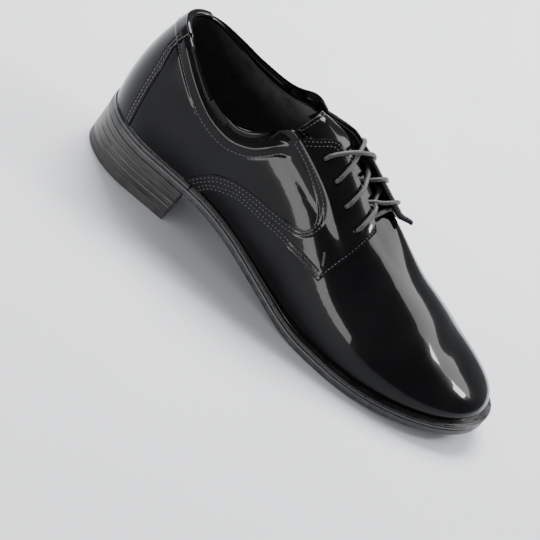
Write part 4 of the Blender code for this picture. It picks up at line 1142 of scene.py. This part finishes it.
def slab(name, end, rows, material, nodes, n):
    """Body from stacked outlines between the heel back and the place end; rows are (inset, z function).

    The top and the underside are filled by strips across, joining places that face each other.
    """
    t = np.linspace(0, 1, n)
    a = end * ((1 - np.cos(PI * t)) / 2 * 0.25 + t * 0.75)
    full = np.concatenate([a, (2 - a)[:0:-1]])
    if end >= 1:
        full = np.delete(full, n)
    m = len(full)
    fx, fs, nx, ns, width = edge_frame(full)
    pts = []
    for inset, height in rows:
        s = fs + ns * (width - inset)
        pts.append(np.stack([fx + nx * (width - inset), LENGTH / 2 - s, height(s)], -1))
    p = np.concatenate(pts)
    faces = grid_faces(len(rows), m, wrap_cols=True).tolist()
    for layer, height in ((0, rows[0][1]), (len(rows) - 1, rows[-1][1])):
        strips, extra = [], []
        for k in range(n):
            left = layer * m + k
            right = layer * m + int(np.argmin(np.abs(full % 2.0 - (2 - a[k]) % 2.0)))
            first = len(p) + len(extra)
            for f in np.arange(1, 12) / 12:
                spot = p[left] * (1 - f) + p[right] * f
                spot[2] = height(np.array([LENGTH / 2 - spot[1]]))[0]
                extra.append(spot)
            strips.append([left, *range(first, first + 11), right])
        p = np.concatenate([p, np.array(extra)])
        for strip, after in zip(strips, strips[1:]):
            for w in range(12):
                f = tuple(dict.fromkeys((strip[w], strip[w + 1], after[w + 1], after[w])))
                if len(f) > 2:
                    faces.append(f)
    ob = add_mesh(name, p, faces, material, weld=0.000002)
    return place(ob, "shoe", nodes)


def sole():
    def above(h):
        return lambda s: sole_z(s) + h

    profile = [(2.2, 0.0), (1.2, 0.03), (0.6, 0.22), (0.2, 0.6), (0.03, 1.1), (0.0, 1.6), (0.0, 3.4),
               (0.05, 4.3), (0.25, 4.75), (0.6, 4.95), (1.4, 5.0)]
    rows = [(inset, above(h)) for inset, h in profile]
    slab("outsole_body", 1.0, rows, SOLE, ["outsole"], n=300)


def heel():
    stack = HEEL_HEIGHT - TOP_PIECE_T
    bounds = [0.0] + [TOP_PIECE_T + stack * k / LIFT_COUNT for k in range(LIFT_COUNT + 1)]

    def level(z):
        """The lifts take up the slope of the heel seat."""
        k = max(z - TOP_PIECE_T, 0) / stack
        return lambda s: z + (sole_z(np.minimum(s, HEEL_BREAST - 0.01)) - HEEL_HEIGHT) * k

    for k in range(LIFT_COUNT + 1):
        top_piece = k == 0
        low = bounds[k] + (0.0 if top_piece else 0.06)
        high = bounds[k + 1] - 0.06
        if k == LIFT_COUNT:
            high -= 0.05
        inner = np.linspace(low + 0.35, high - 0.3, 14 if top_piece else 11)
        rows = []
        for z in np.concatenate([[low, low + 0.06, low + 0.16], inner, [high - 0.12, high]]):
            inset = 1.75 - 1.35 * z / HEEL_HEIGHT + 0.18 * max(0.0, 1 - min(z - low, high - z) / 0.25) ** 2
            if top_piece:
                inset += 0.5 * max(0, 1 - z / 0.5)
            else:
                inset += 0.035 * math.sin(z * 7.1) + 0.02 * math.sin(z * 13.7 + 1.0)
            rows.append((inset, level(z)))
        name = "top_piece" if top_piece else "heel_lift_%d" % k
        slab(name + "_body", BREAST_A, rows, HEEL_RUBBER if top_piece else STACK,
             [name], n=90)


def sock_piece():
    """Padded sock from the heel back to the tread, with a pressed line inside its edge."""
    t = np.linspace(0, 1, 150)
    a = place_of(205.0) * (0.3 * (1 - np.cos(PI * t)) / 2 + 0.7 * t)
    sides = []
    for b in (a, 2 - a):
        (fx, fs), (nx, ns) = feather(b), feather_normal(b)
        sides.append((fx - nx * 1.2, fs - ns * 1.2))
    (lx, ls), (rx, rs) = sides
    w = fractions(54.0, 1.0)[None]
    x = lx[:, None] * (1 - w) + rx[:, None] * w
    s = ls[:, None] * (1 - w) + rs[:, None] * w
    d = np.minimum(w, 1 - w) * np.abs(rx - lx)[:, None]
    z = seat_z(s) + 1.1 + 0.9 * (1 - smooth(d / 7.0)) - 0.15 * np.exp(-((d - 4.0) / 0.5) ** 2)
    z[0] = z[0].mean()
    top = np.stack([x, LENGTH / 2 - s, z], -1)
    low = np.stack([x, LENGTH / 2 - s, seat_z(s) + 0.15], -1)
    r, c = x.shape
    n = r * c
    ids = np.arange(n).reshape(r, c)
    faces = np.concatenate([grid_faces(r, c), grid_faces(r, c, base=n)[:, ::-1]]).tolist()
    for line in (ids[0], ids[-1], ids[:, 0], ids[:, -1]):
        faces += [(p, p2, p2 + n, p + n) for p, p2 in zip(line, line[1:])]
    ob = add_mesh("sock_lining_pad", np.concatenate([top.reshape(-1, 3), low.reshape(-1, 3)]), faces, SOCK)
    place(ob, "shoe", ["sock_lining"])


# ---- lacing ----------------------------------------------------------------------------------
def spline(points, per):
    """Smooth line near the given places (cubic B-spline, ends kept)."""
    p = np.asarray(points, float)
    p = np.vstack([2 * p[0] - p[1], p, 2 * p[-1] - p[-2]])
    t = np.linspace(0, 1, per, endpoint=False)[:, None]
    return np.vstack([((1 - t) ** 3 * a + (3 * t ** 3 - 6 * t ** 2 + 4) * b
                       + (-3 * t ** 3 + 3 * t ** 2 + 3 * t + 1) * c + t ** 3 * d) / 6
                      for a, b, c, d in zip(p, p[1:], p[2:], p[3:])])


def even(points, step):
    """The same line in equal steps."""
    d = np.r_[0, np.cumsum(np.linalg.norm(np.diff(points, axis=0), axis=1))]
    t = np.linspace(0, d[-1], int(d[-1] / step) + 1)
    return np.stack([np.interp(t, d, points[:, k]) for k in range(3)], -1)


def at(a, q, off):
    a, q = np.float64(a), np.float64(q)
    return point_at(a, q) + normal_at(a, q) * off


def hole_places():
    out = {}
    for k, (a, q) in enumerate(HOLES):
        out[("lateral", k + 1)] = (a, q)
        out[("medial", k + 1)] = (2 - a - MEDIAL_AHEAD, q)
    return out


# where the strands leave the facings, off the shoe's middle, and how much nearer the medial side is
STRAND_END = 17.4
MEDIAL_SPAN = 0.80
# a strand passes the hole's edge a little nearer the ridge than the hole itself
HOLE_STEP = 0.035
# strand heights over the form, as (distance past the middle, offset), by where its two ends lie
STRANDS = {
    (True, True): ((-9.5, LACE_OVER), (-3.0, 9.6), (3.0, 9.6), (9.5, LACE_OVER)),
    (True, False): ((-12.5, LACE_OVER + 0.1), (-7.8, LACE_OVER), (-3.0, 7.8), (2.6, 7.3),
                    (6.2, LACE_UNDER + 0.1), (12.5, LACE_UNDER)),
    (False, True): ((-12.5, LACE_UNDER), (-5.5, LACE_UNDER), (1.2, LACE_UNDER + 0.1), (6.6, LACE_OVER),
                    (11.5, LACE_OVER + 0.1)),
    (False, False): ((-9.0, LACE_UNDER), (0.0, LACE_UNDER), (9.0, LACE_UNDER))}
# the last strand lies on top of the first
TOP_STRAND = ((-9.5, LACE_OVER + 0.5), (-3.0, 12.4), (3.0, 12.4), (9.5, LACE_OVER + 0.5))
# holes in the order the cord visits them after medial 1, and whether it arrives outside the facing
ROUTE = [("lateral", 2, True), ("medial", 3, True), ("lateral", 4, True), ("medial", 4, False),
         ("lateral", 3, False), ("medial", 2, False), ("lateral", 1, True)]
# each loose end, from its hole down inside the quarter
TAIL = [(0.437, 0.655, 3.3), (0.442, 0.60, 0.6), (0.452, 0.51, -1.4), (0.474, 0.39, -2.0),
        (0.500, 0.28, -2.0), (0.540, 0.20, -2.2), (0.590, 0.15, -2.4), (0.645, 0.145, -2.4)]


def lace_path():
    """Centre line of the cord, strung hole to hole, with its ends hanging inside the quarters."""
    h = hole_places()

    def drawn_in(x):
        return x * MEDIAL_SPAN if x > 0 else x

    def over_gap(u, x, off):
        """A place off the form at distance x from its middle line."""
        a = u if x <= 0 else 2 - u
        lo, hi = 0.3, 1.0
        for _ in range(30):
            mid = (lo + hi) / 2
            if abs(form(a, mid)[0] - float(centre(station(u)))) > abs(x):
                lo = mid
            else:
                hi = mid
        return at(a, (lo + hi) / 2, off)

    def cross(side0, k0, side1, k1, profile):
        """Strand from one hole to a hole on the other side."""
        d = 1 if side0 == "lateral" else -1
        x0, x1 = drawn_in(-STRAND_END * d), drawn_in(STRAND_END * d)
        u0, u1 = (float(folded(h[(side, k)][0])) for side, k in ((side0, k0), (side1, k1)))
        out = []
        for x, off in profile:
            t = (drawn_in(x * d) - x0) / (x1 - x0)
            out.append(over_gap(u0 + (u1 - u0) * t, x0 + (x1 - x0) * t, off))
        return out

    def through(side, k, downward):
        """The turn through one hole, outside to inside or back."""
        a, q = h[(side, k)]
        pts = [at(a, q + HOLE_STEP, LACE_OVER), at(a, q, 8.9), at(a, q, 4.5),
               at(a, q + HOLE_STEP, LACE_UNDER)]
        return pts if downward else pts[::-1]

    def tail(side):
        ahead = [MEDIAL_AHEAD * max(0.0, 1 - k / 5) for k in range(len(TAIL))]
        return [at(a if side == "lateral" else 2 - a - m, q, off) for (a, q, off), m in zip(TAIL, ahead)]

    side0, k0, outside = "medial", 1, True
    pts = tail(side0)[::-1] + through(side0, k0, False)[1:]
    for side, k, over in ROUTE:
        last = (side, k, over) == ROUTE[-1]
        pts += cross(side0, k0, side, k, TOP_STRAND if last else STRANDS[(outside, over)])
        pts += through(side, k, over)
        side0, k0, outside = side, k, not over
    return pts[:-1] + tail(side0)


def lacing():
    step, sides = 0.5, 24
    path = even(spline(lace_path(), 12), step)
    w = 2 * PI * np.arange(sides) / sides
    s = np.arange(len(path))[:, None] * step
    braid = np.abs(np.sin(3 * w[None] + s * 1.15)) * np.abs(np.sin(3 * w[None] - s * 1.15))
    wobble = 0.03 * np.sin(s * 0.11 + 1.0) + 0.02 * np.sin(s * 0.27)
    ob = tube("lace_cord", path, LACE_R * (0.965 + 0.085 * braid + wobble), LACE, sides)
    place(ob, "shoe", ["lace"])
    radii = 1.22 * np.ones(24)
    radii[:3] = [1.0, 1.15, 1.2]
    radii[-3:] = [1.2, 1.05, 0.6]
    for word, end, a_tip in (("medial", path[0], 2 - 0.684), ("lateral", path[-1], 0.684)):
        d = unit(at(a_tip, 0.15, -3.4) - end)
        c = end + d * (1.0 + 16.0 * np.linspace(0, 1, 24))[:, None]
        ag = tube("aglet_%s_tip" % word, c, radii, AGLET, 20)
        place(ag, "shoe", ["aglet_%s" % word])


def hole_rims():
    """A turned rim for each lacing hole, and inside it a near-black disc of painted shadow in place of the
    hole's depth.
    """
    m, sides = 40, 10
    w = np.linspace(0, 2 * PI, m + 1)[:-1]
    v = 2 * PI * np.arange(sides) / sides
    for (word, k), (a, q) in hole_places().items():
        c = at(a, q, 0)
        n = normal_at(np.float64(a), np.float64(q))
        off = float(facing_off(np.array(a), np.array(q)))
        e1 = unit(steps_of(np.float64(a), np.float64(q))[0])
        rad = np.outer(np.cos(w), e1) + np.outer(np.sin(w), np.cross(n, e1))
        ring = c + n * (off - 0.95) + rad * 1.85
        pts = (ring[:, None] + rad[:, None] * (np.cos(v) * 0.2)[None, :, None]
               + n * (np.sin(v) * 0.2)[None, :, None])
        ob = add_mesh("hole_rim_%s_%d" % (word, k), pts, grid_faces(m, sides, wrap_rows=True, wrap_cols=True),
                      EDGE_LEATHER, weld=0)
        place(ob, "shoe")
        # painted shadow: a near-black disc just under the rim, where the uncut hole would fall into shade
        disc = [c + n * (off - 1.15)] + list(c + n * (off - 1.0) + rad * 1.75)
        faces = [(0, 1 + i, 1 + (i + 1) % m) for i in range(m)]
        place(add_mesh("hole_painted_shadow_%s_%d" % (word, k), disc, faces, PAINTED_HOLE_SHADOW, weld=0), "shoe")


# ---- build -----------------------------------------------------------------------------------
for lateral in (True, False):
    quarter_piece(lateral)
    facing_piece(lateral)
strap_piece()
collar_roll()
vamp_piece()
lining_pieces()
tongue_piece()
rims()
sole()
heel()
sock_piece()
lacing()
hole_rims()

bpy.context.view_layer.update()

# ---- stage, light and camera -------------------------------------------------------------------
FLOOR = material("pale_floor", (0.80, 0.815, 0.84), (0.83, 0.845, 0.87), 0.55, scale=6, rough_spread=0.05,
                 bumps=[("noise", 300, 0.00003, 0.2)], specular=0.3)
FLOOR_HALF = 6.0
me = bpy.data.meshes.new("floor")
me.from_pydata([(x * FLOOR_HALF, y * FLOOR_HALF, 0) for x, y in ((-1, -1), (1, -1), (1, 1), (-1, 1))], [],
               [(0, 1, 2, 3)])
me.materials.append(FLOOR)
floor = bpy.data.objects.new("floor", me)
bpy.context.scene.collection.objects.link(floor)


def stand(ob, x, y, z, where):
    """Turn an object to three axes at a place, and put it in the scene."""
    m = Matrix.Identity(4)
    for i in range(3):
        m[i][0], m[i][1], m[i][2], m[i][3] = x[i], y[i], z[i], where[i]
    ob.matrix_world = m
    bpy.context.scene.collection.objects.link(ob)


def softbox(name, where, size_x, size_y, radiance):
    lamp = bpy.data.lights.new(name, "AREA")
    lamp.shape = "RECTANGLE"
    lamp.size = size_x
    lamp.size_y = size_y
    lamp.energy = radiance * PI * size_x * size_y
    z = unit(np.array(where) - AIM)
    x = unit(np.cross([0, 0, 1.0], z))
    stand(bpy.data.objects.new(name, lamp), x, np.cross(z, x), z, where)


def towards(azimuth, elevation, distance):
    """A point seen from the shoe at that azimuth (0 = toe side, -90 = lateral) and elevation."""
    a, e = math.radians(azimuth), math.radians(elevation)
    return (math.sin(a) * math.cos(e) * distance, -math.cos(a) * math.cos(e) * distance,
            math.sin(e) * distance)


# every softbox faces this place
AIM = (0.0, 0.0, 0.05)
softbox("key_box", towards(115, 56, 1.7), 1.1, 0.7, 24.0)
softbox("side_box", towards(-116, 6.5, 1.9), 2.6, 0.42, 13.0)
softbox("ridge_box", towards(50, 41, 1.5), 0.70, 0.52, 7.5)
softbox("toe_box", towards(30, 38, 1.5), 0.2, 0.2, 64.0)
softbox("heel_box", towards(154, 12, 1.6), 0.5, 0.6, 11.0)

world = bpy.data.worlds.new("studio")
world.use_nodes = True
background = world.node_tree.nodes["Background"]
background.inputs["Color"].default_value = (0.9, 0.93, 1.0, 1)
background.inputs["Strength"].default_value = 0.34
bpy.context.scene.world = world

cam = bpy.data.cameras.new("camera")
cam.sensor_width = 36.0
cam.lens = 258.23
cam.clip_end = 50.0
cam_ob = bpy.data.objects.new("camera", cam)
RIGHT = (0.30024, -0.76381, 0.57136)
UP = (0.37709, 0.64525, 0.66443)
BACK = (-0.87616, 0.01596, 0.48175)
EYE = (-2055.45, 47.68, 1133.47)
stand(cam_ob, RIGHT, UP, BACK, (np.array(EYE) + ORIGIN_SHIFT) * MM)
bpy.context.scene.camera = cam_ob
